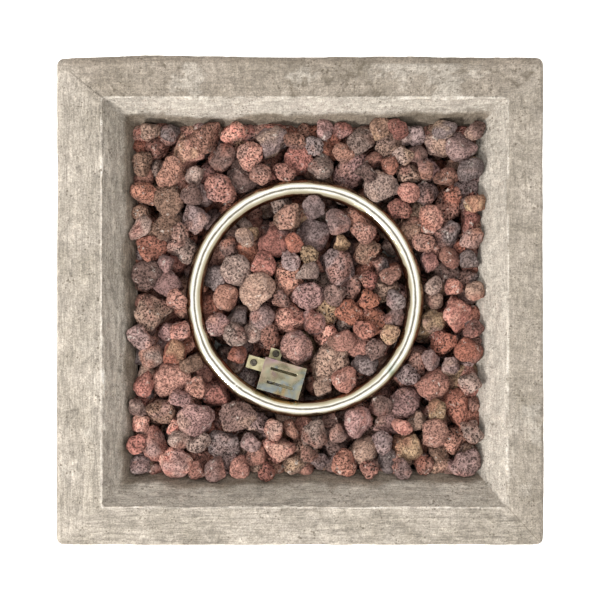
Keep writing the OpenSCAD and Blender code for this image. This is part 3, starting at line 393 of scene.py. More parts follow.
# Its marks: cracks, with painted shade down the slate's risers; the walls darker towards their foot, a brown
# band with painted shade near the rocks; the duller back and right rails; painted shade on the back's outer
# edge; worn pale arrises; raised slate paler, by wear and painted light; the lit back and right walls paler,
# by painted light; and the mitre at the front right corner, which has opened to a hairline.
x, y, z = (shape[..., axis] for axis in range(3))
to_back = step_up(y - abs(x), -0.02, 0.02)
to_right = step_up(x - abs(y), -0.02, 0.02)
crack_and_shade = np.clip((0.5 * crack_and_shade_big + 0.4 * crack_and_shade_small) * rough, 0, 1) * np.where(top_zone, 1.0, 0.6)
mitre = side_points + corner_points + corner_points // 2
crack_and_shade[:, mitre] = np.maximum(crack_and_shade[:, mitre], 0.8 * (zone[:, 0] == "rail"))
# The walls are darker towards their foot, below a wavy line: a brown band, and painted shade near the rocks,
# slight on the right wall.
dark_foot_line = under + 0.025 + 0.013 * noise(shape, 0.040, 14, 5) + np.where(back, 0.004, 0)
low_down = 1 - step_up(z, dark_foot_line - 0.004, dark_foot_line + 0.005)
stain_and_shade = np.where(zone == "wall", np.where(right, 0.12, 0.55) * low_down, 0)
stain_and_shade = stain_and_shade + np.where(top_zone, 0.30 * to_back + 0.14 * to_right, 0)
# Painted shade: the back's outer edge, which faces away from the softbox, is darkened.
stain_and_shade = stain_and_shade + np.where(zone == "edge", 0.10 * to_back, 0)
wear_and_light = np.where(zone == "arris", 1.0, 0) * step_up(noise(shape, 0.02, 15, 3), -0.5, 0.2)
# Raised slate is paler: wear, and painted light standing in for the relief's shading.
wear_and_light = wear_and_light + 0.35 * step_up(relief, 0.0005, 0.0014) * top_zone
# Painted light: the walls are paler above the dark foot line, the lit back wall more, and the lit right wall
# all the way down.
pale = np.where(right, 0.45, step_up(z, dark_foot_line, dark_foot_line + 0.008) * np.where(back, 0.55, 0.32))
wear_and_light = np.clip(wear_and_light + np.where(zone == "wall", pale, 0), 0, 1)
across = step_up(abs(x) - abs(y), -0.012, 0.012) * (1 - 0.4 * to_right) + 0.4 * to_back
casting = put("bowl_casting", shape.reshape(-1, 3), grid_faces(*shape.shape[:2], True), rim_stone,
              "pit")
mark(casting, "marks", np.stack([0.75 * crack_and_shade, stain_and_shade, wear_and_light, across], -1))
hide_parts("top_casting")


# Column: a cast box with 16 mm walls, in the same slate texture but without the rails' grain. Its front has
# a shallow recess for the controls, its sides are vented low and high, and its back is open for the door.
column_stone = cast_stone(
    "cast_stone_column", "#B0A89D", "#9B9387", (22.2, 22.2, 7.69), (22.2, 22.2, 7.69), 0.0010)


def lines(low, high, step, *borders):
    """Places from low to high, about a step apart, with one exactly on each border."""
    stops = np.unique([low, high, *borders])
    runs = [np.linspace(start, end, max(1, round((end - start) / step)), endpoint=False)
            for start, end in zip(stops, stops[1:])]
    return np.concatenate(runs + [[high]])


def shell(outside, inside, faces):
    """Closes two matching skins into a solid: the inner faces are turned round, and every edge that only one
    face uses gets a strip between the skins. Returns the points and the faces."""
    edges = np.concatenate([faces[:, [k, (k + 1) % 4]] for k in range(4)])
    ends = np.sort(edges, 1)
    keys = ends[:, 0] * len(outside) + ends[:, 1]
    first, count = np.unique(keys, return_index=True, return_counts=True)[1:]
    rim = edges[first[count == 1]]
    shift = len(outside)
    strip = np.stack([rim[:, 1], rim[:, 0], rim[:, 0] + shift, rim[:, 1] + shift], -1)
    return np.concatenate([outside, inside]), np.concatenate([faces, faces[:, ::-1] + shift, strip])


column_low, column_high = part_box("column_casting")
w, foot, head = column_high.x, column_low.z, column_high.z
wall, nose = 0.016, 0.006
panel_z, recess_x, recess_z, recess_depth = 0.424, 0.100, 0.050, 0.010
window_x, window_z = 0.084, 0.034
door_x, door_foot, door_head = 0.170, 0.030, 0.490
vent_near, vent_far, vent_low, vent_high, slot = 0.045, 0.135, 0.070, 0.470, 0.006
skin = 0.001
bends = [-w + nose / 2, -w + nose, w - nose, w - nose / 2]
front_x = lines(-w, w, 0.005, *bends, -recess_x, skin - recess_x, -window_x, window_x, recess_x - skin,
                recess_x)
side_y = lines(-w, w, 0.005, *bends, -vent_far, -vent_near, vent_near, vent_far)
back_x = lines(-w, w, 0.005, *bends, -door_x, door_x)
rows_z = lines(foot, head, 0.005, door_foot, door_head, vent_low - slot, vent_low + slot, vent_high - slot,
               vent_high + slot, panel_z - recess_z, panel_z - recess_z + skin, panel_z - window_z,
               panel_z + window_z, panel_z + recess_z - skin, panel_z + recess_z)
x_right, x_left = np.full(len(side_y) - 1, w), np.full(len(side_y) - 1, -w)
y_front, y_back = np.full(len(front_x) - 1, -w), np.full(len(back_x) - 1, w)
x = np.concatenate([front_x[:-1], x_right, back_x[:0:-1], x_left])
y = np.concatenate([y_front, side_y[:-1], y_back, side_y[:0:-1]])
flat = np.stack(np.broadcast_arrays(x[None, :], y[None, :], rows_z[:, None]), -1)

# The openings: faces whose middles lie in the door, the window behind the controls or a vent are left out.
faces = grid_faces(len(rows_z), len(x), False)
middles = flat.reshape(-1, 3)[faces].mean(1)
cx, cy, cz = abs(middles[:, 0]), abs(middles[:, 1]), middles[:, 2]
in_door = (middles[:, 1] > w - skin) & (cx < door_x) & (cz > door_foot) & (cz < door_head)
in_window = (middles[:, 1] < skin - w) & (cx < window_x) & (abs(cz - panel_z) < window_z)
in_vent_row = (abs(cz - vent_low) < slot) | (abs(cz - vent_high) < slot)
in_vent = (cx > w - skin) & (cy > vent_near) & (cy < vent_far) & in_vent_row
faces = faces[~(in_door | in_window | in_vent)]

# The outer skin: corners rounded to the nose radius, the recess pushed in, and slate relief that dies away
# round the recess, the door's opening, the foot and the head, so that the fitted pieces sit flat.
core = np.clip(flat[..., :2], -w + nose, w - nose)
lean = flat[..., :2] - core
lean = lean / np.maximum(np.linalg.norm(lean, axis=-1, keepdims=True), 1e-9)
out = flat.copy()
out[..., :2] = core + nose * lean
x, y, z = (flat[..., axis] for axis in range(3))
in_recess = (abs(x) < recess_x - skin / 2) & (abs(z - panel_z) < recess_z - skin / 2)
recessed = (y < skin - w) & in_recess
out[..., 1] += np.where(recessed, recess_depth, 0)
slabs, cracks_and_shade = slate(out, 0.055, 41)
chips = slate(out, 0.020, 43)[0]
from_recess = np.maximum(abs(x) - recess_x, abs(z - panel_z) - recess_z).clip(0)
door_middle, door_half = (door_foot + door_head) / 2, (door_head - door_foot) / 2
from_door = np.maximum(abs(x) - door_x, abs(z - door_middle) - door_half).clip(0)
near = np.minimum.reduce([
    np.where(y < 0, from_recess, 1), np.where(y > w - skin, from_door, 1), z - foot, head - z])
quiet = step_up(near, 0.001, 0.012) * np.where(recessed, 0, 1)
swell = 0.0012 * noise(out, 0.12, 44, 3) + 0.0004 * noise(out, 0.012, 45, 3)
relief = quiet * (0.8 * slabs + 0.6 * chips + swell)
out[..., :2] += lean * (relief - 0.0006)[..., None]
inside = flat.copy()
inside[..., :2] = np.clip(flat[..., :2], -w + wall, w - wall)
points, faces = shell(out.reshape(-1, 3), inside.reshape(-1, 3), faces)
column = put("column_shell", points, faces, column_stone, "pit")

dark_foot_line = foot + 0.020 + 0.014 * noise(out, 0.08, 46, 3)
stains = 0.45 * (1 - step_up(out[..., 2], dark_foot_line - 0.01, dark_foot_line + 0.03))
stains = stains + 0.14 * step_up(noise(out, 0.15, 47, 3), 0.0, 0.6)
corner = (abs(x) > w - 0.008) & (abs(y) > w - 0.008)
# Corners worn pale, and raised slate paler: wear, and painted light standing in for the relief's shading.
wear_and_light = 0.45 * corner * step_up(noise(out, 0.03, 48, 3), -0.2, 0.4) + 0.3 * step_up(relief, 0.0004, 0.0014)
outer_marks = np.stack([0.8 * cracks_and_shade * quiet, stains, wear_and_light, 0 * wear_and_light], -1).reshape(-1, 4)
mark(column, "marks", np.concatenate([outer_marks, 0 * outer_marks]))
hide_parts("column_casting")


# Door: a slab of the same stone, 14 mm thick, stiffened by a sheet on its inner face. Its edges are eased,
# and its face carries the column's relief across the gap, but stays flat under the hinges and the knob.
door_low, door_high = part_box("door_panel")
ease = 0.004
ends_x = [door_low.x + ease / 2, door_low.x + ease, door_high.x - ease, door_high.x - ease / 2]
ends_z = [door_low.z + ease / 2, door_low.z + ease, door_high.z - ease, door_high.z - ease / 2]
across_door = lines(door_low.x, door_high.x, 0.004, *ends_x)
up_door = lines(door_low.z, door_high.z, 0.004, *ends_z)
flat = np.stack(np.broadcast_arrays(across_door[None, :], door_high.y, up_door[:, None]), -1).astype(float)
cols = len(across_door)
r = np.arange(len(up_door) - 1)[:, None]
c = np.arange(cols - 1)[None, :]
quad = np.broadcast_arrays(r * cols + c + 1, r * cols + c, (r + 1) * cols + c, (r + 1) * cols + c + 1)
faces = np.stack(quad, -1).reshape(-1, 4)
x, y, z = (flat[..., axis] for axis in range(3))
reach = np.minimum.reduce([x - door_low.x, door_high.x - x, z - door_low.z, door_high.z - z])
eased = ease - np.sqrt(np.maximum(ease ** 2 - (ease - reach).clip(0) ** 2, 0))
slabs, cracks_and_shade = slate(flat, 0.055, 41)
chips = slate(flat, 0.020, 43)[0]
hinge_x, hinge_low, hinge_high = -0.150, 0.100, 0.430
from_row = np.minimum(abs(z - hinge_low), abs(z - hinge_high))
from_hinge = np.maximum(abs(x - hinge_x) - 0.030, from_row - 0.034).clip(0)
knob_x, knob_z, knob_reach = 0.140, 0.265, 0.012
from_knob = np.hypot(x - knob_x, z - knob_z) - knob_reach
quiet = step_up(reach, 0.001, 0.012) * step_up(from_hinge, 0.001, 0.01) * step_up(from_knob, 0.001, 0.01)
swell = 0.0010 * noise(flat, 0.12, 44, 3) + 0.0004 * noise(flat, 0.012, 45, 3)
relief = quiet * (0.8 * slabs + 0.6 * chips + swell)
out = flat.copy()
out[..., 1] += np.minimum(relief - 0.0006 * quiet, 0.0008) - eased
inside = flat.copy()
inside[..., 1] = door_low.y
points, faces = shell(out.reshape(-1, 3), inside.reshape(-1, 3), faces)
door = put("door_slab", points, faces, column_stone, "door")
stains = 0.14 * step_up(noise(out, 0.15, 47, 3), 0.0, 0.6)
# Edges worn pale, and raised slate paler: wear, and painted light standing in for the relief's shading.
wear_and_light = 0.4 * (1 - step_up(reach, 0.002, 0.006)) + 0.3 * step_up(relief, 0.0004, 0.0014)
outer_marks = np.stack([0.8 * cracks_and_shade * quiet, stains, wear_and_light, 0 * wear_and_light], -1).reshape(-1, 4)
mark(door, "marks", np.concatenate([outer_marks, 0 * outer_marks]))
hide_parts("door_panel")


# Lava rock: red and black scoria, crushed and tumbled to 20 to 40 mm. Each stone is a dull lump, cut by a
# few old fractures and full of gas bubbles, from brick red through mauve to nearly black.
scoria, tree, shader, place = finish_of("scoria", "#8B6D61", 0.92, Specular_IOR_Level=0.2)
tint = add(tree, "Attribute", attribute_name="tint")
blotch = add(tree, "TexNoise", {"Vector": place, "Scale": 1 / 0.011, "Detail": 5.0, "Roughness": 0.65})
dust = add(tree, "ValToRGB", {0: blotch}, stops=[(0.3, "#7E7370"), (0.7, "#CFC6C0")])
dusty = add(tree, "MixRGB", {"Fac": 0.75, "Color1": tint, "Color2": dust}, blend_type="OVERLAY")
# Gas bubbles, 3.3 mm and 1.9 mm apart, with their outlines bent so that no two are alike, and painted shade
# that darkens them to nearly black.
warp = add(tree, "TexNoise", {"Vector": place, "Scale": 1 / 0.004, "Detail": 2.0})
push = add(tree, "VectorMath", {0: warp.outputs["Color"], 1: [0.0055] * 3}, operation="MULTIPLY")
bent = add(tree, "VectorMath", {0: place, 1: push}, operation="ADD")
bubbles = add(tree, "TexVoronoi", {"Vector": bent, "Scale": 1 / 0.0033, "Randomness": 1.0})
pinholes = add(tree, "TexVoronoi", {"Vector": bent, "Scale": 1 / 0.0019, "Randomness": 1.0})
open_big = add(tree, "ValToRGB", {0: bubbles}, stops=[(0.24, "#FFFFFF"), (0.42, "#000000")])
open_small = add(tree, "ValToRGB", {0: pinholes}, stops=[(0.20, "#FFFFFF"), (0.40, "#000000")])
by_stone = add(tree, "Math", {0: open_big, 1: tint.outputs["Alpha"]}, operation="MULTIPLY")
shallow = add(tree, "Math", {0: open_small, 1: 0.72}, operation="MULTIPLY")
how_open = add(tree, "Math", {0: by_stone, 1: shallow}, operation="MAXIMUM")
# Painted shade: the open bubbles are darkened to nearly black.
shaded_holes = add(tree, "MixRGB", {"Fac": how_open, "Color1": dusty, "Color2": colour("#2A1D19")})
# Pale mineral crusts in patches of a few millimetres, and painted highlights on the froth's raised ridges
# between the bubbles.
mineral = add(tree, "TexNoise", {"Vector": place, "Scale": 1 / 0.009, "Detail": 4.0, "Roughness": 0.7})
crust = add(tree, "ValToRGB", {0: mineral}, stops=[(0.615, "#000000"), (0.665, "#C8C8C8")])
salted = add(tree, "MixRGB", {"Fac": crust, "Color1": shaded_holes, "Color2": colour("#D5CAC0")})
froth = add(tree, "TexNoise", {"Vector": place, "Scale": 1 / 0.0021, "Detail": 3.0, "Roughness": 0.8})
froth_highlight = add(tree, "MixRGB", {"Fac": 0.9, "Color1": salted, "Color2": froth}, blend_type="OVERLAY")
tree.links.new(froth_highlight.outputs[0], shader.inputs["Base Color"])
depth = add(tree, "Math", {0: froth, 1: how_open}, operation="SUBTRACT")
bump = add(tree, "Bump", {"Height": depth, "Strength": 1.0, "Distance": 0.0022})
tree.links.new(bump.outputs[0], shader.inputs["Normal"])

SCORIA_TINTS = [
    "#A87F75", "#956557", "#997D7B", "#8F8080", "#827878", "#A2715F", "#A38D74", "#78645F", "#A37E70",
    "#986B63", "#8B7365", "#B68F83", "#9A8982", "#A17264", "#8C7977", "#A18A7D", "#9C746A", "#A58176"]


def rounded_cube(n):
    """Directions spread evenly over a ball and their faces: each side of a cube is cut n by n along equal
    angles and blown up to length one, and the corners that sides share are merged."""
    a = np.tan(np.linspace(-pi / 4, pi / 4, n + 1))
    u, v = (g.ravel() for g in np.meshgrid(a, a))
    one = np.ones_like(u)
    turns = (u, v, one), (v, u, -one), (one, u, v), (-one, v, u), (v, one, u), (u, -one, v)
    sides = [np.stack(turn, -1) for turn in turns]
    points = np.concatenate([s / np.linalg.norm(s, axis=1, keepdims=True) for s in sides])
    r, c = (g.ravel() for g in np.meshgrid(np.arange(n), np.arange(n), indexing="ij"))
    first = r * (n + 1) + c
    quad = np.stack([first, first + 1, first + n + 2, first + n + 1], -1)
    quads = np.concatenate([quad + side * (n + 1) ** 2 for side in range(6)])
    spots, where = np.unique(np.round(points, 6), axis=0, return_inverse=True)
    return spots, where.ravel()[quads]


def stones_in(node):
    """The stones of a CAD node as their twelve corners each: its loose triangles are joined where their
    points agree, and each connected group of them is a stone."""
    mesh = nodes[node].data
    mesh.calc_loop_triangles()
    co = np.empty(len(mesh.vertices) * 3, np.float32)
    mesh.vertices.foreach_get("co", co)
    tri = np.empty(len(mesh.loop_triangles) * 3, np.int32)
    mesh.loop_triangles.foreach_get("vertices", tri)
    spots, where = np.unique(np.round(co.reshape(-1, 3), 6), axis=0, return_inverse=True)
    tri = where.ravel()[tri].reshape(-1, 3)
    group = np.arange(len(spots))
    while True:
        low = group[tri].min(1)
        before = group.copy()
        np.minimum.at(group, tri.ravel(), np.repeat(low, 3))
        if (group == before).all():
            break
    return [spots[group == g] for g in np.unique(group)]


ring_low, ring_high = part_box("burner_ring")
ring_tube = 0.0095
ring_middle = np.array([
    (ring_low.x + ring_high.x) / 2, (ring_low.y + ring_high.y) / 2, ring_high.z - ring_tube])
ring_sweep = (ring_high.x - ring_low.x) / 2 - ring_tube


def lava_stones(corners, n, seed):
    """Detailed stones round the corners of rough ones. The distance out is a mean of the corners' distances,
    weighted by how well each faces the point, cut by seven fracture planes with a smooth minimum, drawn out
    one way, then lumped and pitted by noise. Points inside the burner ring's tube are pushed out to its
    surface. Also returns each point's tint, a mix of two of the rock's colours, and its porosity as alpha."""
    rng = np.random.default_rng(seed)
    ball, quads = rounded_cube(n)
    count = len(corners)
    middle = np.array([c.mean(0) for c in corners])
    reach = np.array([c - c.mean(0) for c in corners])
    far = np.linalg.norm(reach, axis=2)
    pull = np.einsum("vi,kci->kvc", ball, reach / far[..., None]).clip(0) ** 7
    out = (pull * far[:, None, :]).sum(2) / pull.sum(2)
    size = far.mean(1)
    planes = rng.normal(size=(count, 7, 3))
    planes /= np.linalg.norm(planes, axis=2, keepdims=True)
    facing = np.einsum("vi,kpi->kvp", ball, planes).clip(0.05)
    cut = size[:, None, None] * rng.uniform(0.52, 0.98, (count, 1, 7)) / facing
    out = 1.36 * (out ** -18 + (cut ** -18).sum(2)) ** (-1 / 18)
    long_way = rng.normal(size=(count, 1, 3))
    long_way /= np.linalg.norm(long_way, axis=2, keepdims=True)
    along = (ball[None] * long_way).sum(2)
    out = out * (1.0 + rng.uniform(0, 0.34, (count, 1)) * (along ** 2 - 0.33))
    scale = size[:, None]
    points = middle[:, None] + ball[None] * out[..., None]
    out = out + scale * 0.30 * noise(points, 0.012, seed, 3)
    rough = rng.uniform(0.4, 1.0, (count, 1))
    points = middle[:, None] + ball[None] * out[..., None]
    dent = noise(points, 0.0052, seed + 5, 3)
    out = out + rough * (0.0017 * dent - 0.0015 * step_up(noise(points, 0.0036, seed + 6), 0.22, 0.55))
    points = middle[:, None] + ball[None] * out[..., None]
    spoke = points[..., :2] - ring_middle[:2]
    spoke = spoke / np.maximum(np.linalg.norm(spoke, axis=-1, keepdims=True), 1e-9)
    level = np.full(spoke.shape[:-1] + (1,), ring_middle[2])
    nearest = np.concatenate([ring_middle[:2] + ring_sweep * spoke, level], -1)
    away = points - nearest
    gap = np.linalg.norm(away, axis=-1, keepdims=True)
    clear = ring_tube + 0.0004
    points = np.where(gap < clear, nearest + away / np.maximum(gap, 1e-9) * clear, points)
    shades = np.array([colour(code) for code in SCORIA_TINTS])
    own = shades[rng.integers(0, len(shades), count)][:, None]
    other = shades[rng.integers(0, len(shades), count)][:, None]
    mix = step_up(noise(points, 0.016, seed + 9, 2), -0.1, 0.5)[..., None]
    tint = own * (1 - 0.6 * mix) + other * 0.6 * mix
    tint = tint * rng.uniform(0.90, 1.62, (count, 1, 1))
    tint[..., 3] = rough
    faces = quads[None] + (np.arange(count) * len(ball))[:, None, None]
    return points.reshape(-1, 3), faces.reshape(-1, 4), tint.reshape(-1, 4)


upper, lower = stones_in("lava_rocks_upper"), stones_in("lava_rocks_lower")
heaps = [("lava_rock_top_%d" % (k + 1), upper[k::8], 17) for k in range(8)]
heaps += [("lava_rock_under_%d" % (k + 1), lower[k::2], 10) for k in range(2)]

# Chips: small broken rock from the same bag covers the pan's floor and fills the joint along the walls. Each
# starts as twelve corners round its spot, as the stones do.
rng = np.random.default_rng(97)
pan_x, pan_y, joint_z = np.linspace(-0.168, 0.182, 22), np.linspace(-0.174, 0.180, 22), under + 0.004
bed_x, bed_y = (g.ravel() for g in np.meshgrid(pan_x, pan_y))
bed = np.stack([bed_x, bed_y, np.full(bed_x.shape, under - 0.0225)], -1)
x0, x1, y0, y1 = -0.170, 0.184, -0.176, 0.182
t = np.linspace(0, 1, 22, endpoint=False)
run_x, run_y, level = x0 + (x1 - x0) * t, y0 + (y1 - y0) * t, 0 * t
joint = np.concatenate([
    np.stack([run_x, level + y0, level + joint_z], -1), np.stack([level + x1, run_y, level + joint_z], -1),
    np.stack([run_x, level + y1, level + joint_z], -1), np.stack([level + x0, run_y, level + joint_z], -1)])
spots = np.concatenate([bed, joint]) + rng.uniform(-0.0035, 0.0035, (len(bed) + len(joint), 3))
around_spot = rng.normal(size=(len(spots), 12, 3))
around_spot /= np.linalg.norm(around_spot, axis=2, keepdims=True)
chip_size = np.where(np.arange(len(spots)) < len(bed), 0.0088, 0.0098)[:, None, None]
chips = spots[:, None] + around_spot * chip_size * rng.uniform(0.85, 1.15, (len(spots), 12, 1))
heaps.append(("lava_rock_chips", list(chips), 4))
for order, (name, corners, n) in enumerate(heaps):
    points, faces, tint = lava_stones(corners, n, 40 + order)
    heap = put(name, points, faces, scoria, "pit")
    mark(heap, "tint", tint)
    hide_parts("lava_rocks_upper" if "top" in name else "lava_rocks_lower")


# Burner ring: a polished stainless tube rolled to a circle, welded shut and buffed by hand, so that it isn't
# quite round. It stands on three strip legs. Its flanks run from straw to brown and its underside is brown:
# the flame's tint, and painted reflection and shade round its pale top.
tube_steel, tree, shader, place = finish_of("polished_stainless_tube", "#F2F1EC", 0.13, 1.0)
turn = add(tree, "Attribute", attribute_name="turn")
split = add(tree, "SeparateColor", {0: turn})
drift = add(tree, "TexNoise", {"Vector": place, "Scale": 1 / 0.035, "Detail": 3.0})
lean = add(tree, "Math", {0: drift, 1: 0.5}, operation="SUBTRACT")
wander = add(tree, "Math", {0: lean, 1: 0.28, 2: split.outputs["Red"]}, operation="MULTIPLY_ADD")
# Heat tint with painted reflection and shade: pale on the tube's top, brown down the flanks and underside.
heat_and_reflection = add(tree, "ValToRGB", {0: wander}, stops=[
    (0.02, "#75583F"), (1.0, "#6B5040"), (0.09, "#937761"), (0.15, "#A89D84"), (0.30, "#C0B8A2"),
    (0.38, "#E6E3D9"), (0.66, "#E6E3D9"), (0.75, "#C0B8A2"), (0.88, "#A6977B"), (0.94, "#856A52")])
teal = add(tree, "ValToRGB", {0: drift}, stops=[(0.64, "#FFFFFF"), (0.74, "#C6D6D1")])
tinted = add(tree, "MixRGB", {"Fac": 1.0, "Color1": heat_and_reflection, "Color2": teal}, blend_type="MULTIPLY")
tree.links.new(tinted.outputs[0], shader.inputs["Base Color"])
buffed = add(tree, "TexNoise", {"Vector": place, "Scale": 1 / 0.0035, "Detail": 4.0})
tree.links.new(add(tree, "MapRange", {0: buffed, 3: 0.08, 4: 0.20}).outputs[0], shader.inputs["Roughness"])
dents = add(tree, "TexNoise", {"Vector": place, "Scale": 1 / 0.016, "Detail": 1.0})
height = add(tree, "Math", {0: dents, 1: 9.0, 2: buffed}, operation="MULTIPLY_ADD")
bump = add(tree, "Bump", {"Height": height, "Strength": 0.5, "Distance": 0.00016})
tree.links.new(bump.outputs[0], shader.inputs["Normal"])

# The hoop is a circle carried round a circle. A slow wobble, and a low bead at each of three welds, change
# the sweep and the tube's own radius. The "turn" mark runs from 0 at the inner flank to 1 at the outer one.
round_ring, round_tube = 720, 36
a = np.linspace(0, 2 * pi, round_ring, endpoint=False)[None, :]
b = np.linspace(0, 2 * pi, round_tube, endpoint=False)[:, None]
circle = np.stack([np.cos(a), np.sin(a), 0 * a], -1)
wobble = 0.00055 * noise(circle * 0.12, 0.028, 71, 2)
weld_turns = np.array([0.42, 2.75, 4.05])[:, None]
welds = np.exp(-((a - weld_turns) / 0.016) ** 2).sum(0)[None, :]
radius = ring_tube - 0.0003 + 0.5 * wobble + 0.0004 * welds * (1 + np.cos(3 * a + b)) / 2
sweep = ring_sweep + wobble + radius * np.cos(b)
hoop = np.stack([sweep * np.cos(a), sweep * np.sin(a), radius * np.sin(b) + 0 * a], -1) + ring_middle
quads = grid_faces(round_tube, round_ring, True)
burner = put("burner_tube", hoop.reshape(-1, 3), quads, tube_steel, "pit")
# The underside's mark is pushed to 0 or 1, so that it takes the brown of painted shade.
share = 0.5 + 0.5 * np.cos(b) + 0 * a
share = np.where(np.sin(b) < 0, np.round(share), share)
mark(burner, "turn", np.stack([share, 0 * share, 0 * share, 1 + 0 * share], -1))
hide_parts("burner_ring")

# The feed stub: a short pipe down from the ring to the pan, whose bore lets the gas in.
feed_turn = np.linspace(0, 2 * pi, 40, endpoint=False)[None, :]
feed_r = np.array([0.008, 0.008, 0.0065, 0.0065])[:, None]
feed_top = ring_middle[2] - 0.004
feed_z = np.array([ring_low.z, feed_top, feed_top, ring_low.z])[:, None]
feed_angle = -62 * pi / 180
feed_at = ring_middle[:2] + ring_sweep * np.array([np.cos(feed_angle), np.sin(feed_angle)])
feed_x, feed_y = feed_at[0] + feed_r * np.cos(feed_turn), feed_at[1] + feed_r * np.sin(feed_turn)
stub = np.stack(np.broadcast_arrays(feed_x, feed_y, feed_z), -1)
feed = put("burner_feed", stub.reshape(-1, 3), grid_faces(4, 40, True), tube_steel, "pit")
mark(feed, "turn", np.tile([0.4, 0, 0, 1], (160, 1)))
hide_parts("burner_ring")


# Hardware: every steel, brass and plastic piece keeps its shape from the design. Its corners are broken by a
# small bevel, and its finish has the grain that its making leaves.
def machined(material, width, names):
    """Gives CAD nodes their material and soft edges: the loose triangles are joined, flat ones are merged,
    the corners are bevelled by the width, and normals are weighted by the size of the faces."""
    for name in names.split():
        node = nodes[name]
        node.material_slots[0].material = material
        node.data.shade_smooth()
        weld = node.modifiers.new("weld", "WELD")
        weld.merge_threshold = 0.000002
        flat = node.modifiers.new("flat", "DECIMATE")
        flat.decimate_type = "DISSOLVE"
        flat.angle_limit = 0.01
        soft = node.modifiers.new("soft", "BEVEL")
        soft.width = width
        soft.segments = 2
        soft.angle_limit = 0.6
        node.modifiers.new("even", "WEIGHTED_NORMAL")


def worked(name, base, shade, rough, metallic, grain, depth, **sockets):
    """A finish led by one noise, whose grain has a size in millimetres along each axis: it runs the colour
    from shade to base and the roughness between two values, and it raises a bump of the given depth in
    metres. Returns the material, its tree, its shader and the ramp of its colours."""
    material, tree, shader, place = finish_of(name, base, rough[1], metallic, **sockets)
    spread = add(tree, "Mapping", {"Vector": place, "Scale": [1000 / size for size in grain]})
    wave = add(tree, "TexNoise", {
        "Vector": spread, "Scale": 1.0, "Detail": 5.0, "Roughness": 0.62, "Distortion": 0.3})
    shades = add(tree, "ValToRGB", {0: wave}, stops=[(0.36, shade), (0.62, base)])
    tree.links.new(shades.outputs[0], shader.inputs["Base Color"])
    sheen = add(tree, "MapRange", {0: wave, 1: 0.3, 2: 0.7, 3: rough[0], 4: rough[1]})
    tree.links.new(sheen.outputs[0], shader.inputs["Roughness"])
    bump = add(tree, "Bump", {"Height": wave, "Strength": 0.4, "Distance": depth})
    tree.links.new(bump.outputs[0], shader.inputs["Normal"])
    return material, tree, shader, shades


# Burner works, under the stones.
# Sooted zinc-coated sheet: the pan, dark and dull, with brown dust from the rock.
sooted = worked("sooted_pan_sheet", "#4A3B32", "#241B16", (0.7, 0.9), 0.1, (14.3, 14.3, 14.3), 0.0003)[0]
machined(sooted, 0.0004, "burner_pan")
# Zinc-coated sheet: cool grey with the soft mottling of its crystals, about 18 mm across.
zinc_sheet = worked(
    "zinc_coated_sheet", "#9A9C9C", "#7C7F80", (0.34, 0.55), 0.9, (18.2, 18.2, 18.2), 0.0001)[0]
machined(zinc_sheet, 0.0003, "heat_shield door_backing")
# Black powder coat: fine orange peel over steel, slightly satin.
powder = worked("black_powder_coat", "#1D1D1D", "#121212", (0.42, 0.58), 0.0, (1.43, 1.43, 1.43), 0.0002)[0]
machined(powder, 0.0006, "floor_plate tank_ring")
# Plain stainless: grained across its length by rolling, and greyer than the tube.
plain = worked("plain_stainless", "#A9A8A4", "#8B8A86", (0.28, 0.46), 1.0, (6.67, 6.67, 1.11), 0.0001)[0]
machined(plain, 0.0003, "ring_legs strike_plate electrode_rod thermocouple_probe valve_stem")
# Brass: turned and left to dull, with darker brown in its hollows.
brass = worked("dulled_brass", "#B08F4E", "#7C6233", (0.26, 0.48), 1.0, (4.55, 4.55, 1.11), 0.0001)[0]
machined(brass, 0.0004, "feed_locknut air_mixer gas_orifice pipe_nuts valve_body valve_plug")
# Aluminium: drawn tube with a faint grain and a grey oxide.
drawn = worked("drawn_aluminium", "#B9BBBC", "#94979A", (0.32, 0.5), 1.0, (3.85, 16.7, 16.7), 0.0001)[0]
machined(drawn, 0.0002, "gas_pipe")
# Copper: the bent capillary of the thermocouple, browned by heat.
capillary = worked("browned_copper", "#A8684A", "#6E4230", (0.3, 0.55), 1.0, (8.33, 8.33, 8.33), 0.0001)[0]
machined(capillary, 0.0001, "thermocouple_lead")
# Silicone sleeve: off-white, soft and a little dusty.
sleeve = worked("silicone_sleeve", "#D2CCBE", "#B5AE9F", (0.5, 0.7), 0.0, (5.56, 5.56, 5.56), 0.0001,
                Subsurface_Weight=0.1, Subsurface_Radius=(0.002, 0.0015, 0.001))[0]
machined(sleeve, 0.0001, "igniter_lead")
# Alumina: white unglazed ceramic with faint grey specks.
alumina = worked("unglazed_alumina", "#ECEAE2", "#D5D1C6", (0.45, 0.6), 0.0, (2.0, 2.0, 2.0), 0.0001,
                 Subsurface_Weight=0.1, Subsurface_Radius=(0.001, 0.001, 0.001))[0]
machined(alumina, 0.0003, "electrode_ceramic")
# Yellow zinc passivation: pale straw over bright steel.
passivated = worked(
    "yellow_passivated_zinc", "#C4BD9C", "#9F9776", (0.35, 0.55), 0.8, (7.69, 7.69, 7.69), 0.0001)[0]
machined(passivated, 0.0003, "pilot_bracket")
# Bright zinc plate: small screws with a bluish cast.
plated = worked("bright_zinc_plate", "#A6A9AB", "#7E8184", (0.25, 0.42), 1.0, (2.5, 2.5, 2.5), 0.0001)[0]
machined(plated, 0.0003, "foot_studs pan_screws leg_screws shield_screws panel_screws valve_screws "
                         "door_screws hinge_screws catch_screws")
# Heat-darkened steel: the pilot's screws, brown to black.
dulled = worked("heat_darkened_steel", "#6B655C", "#3E3A34", (0.35, 0.6), 1.0, (2.5, 2.5, 2.5), 0.0001)[0]
machined(dulled, 0.0003, "pilot_screws")

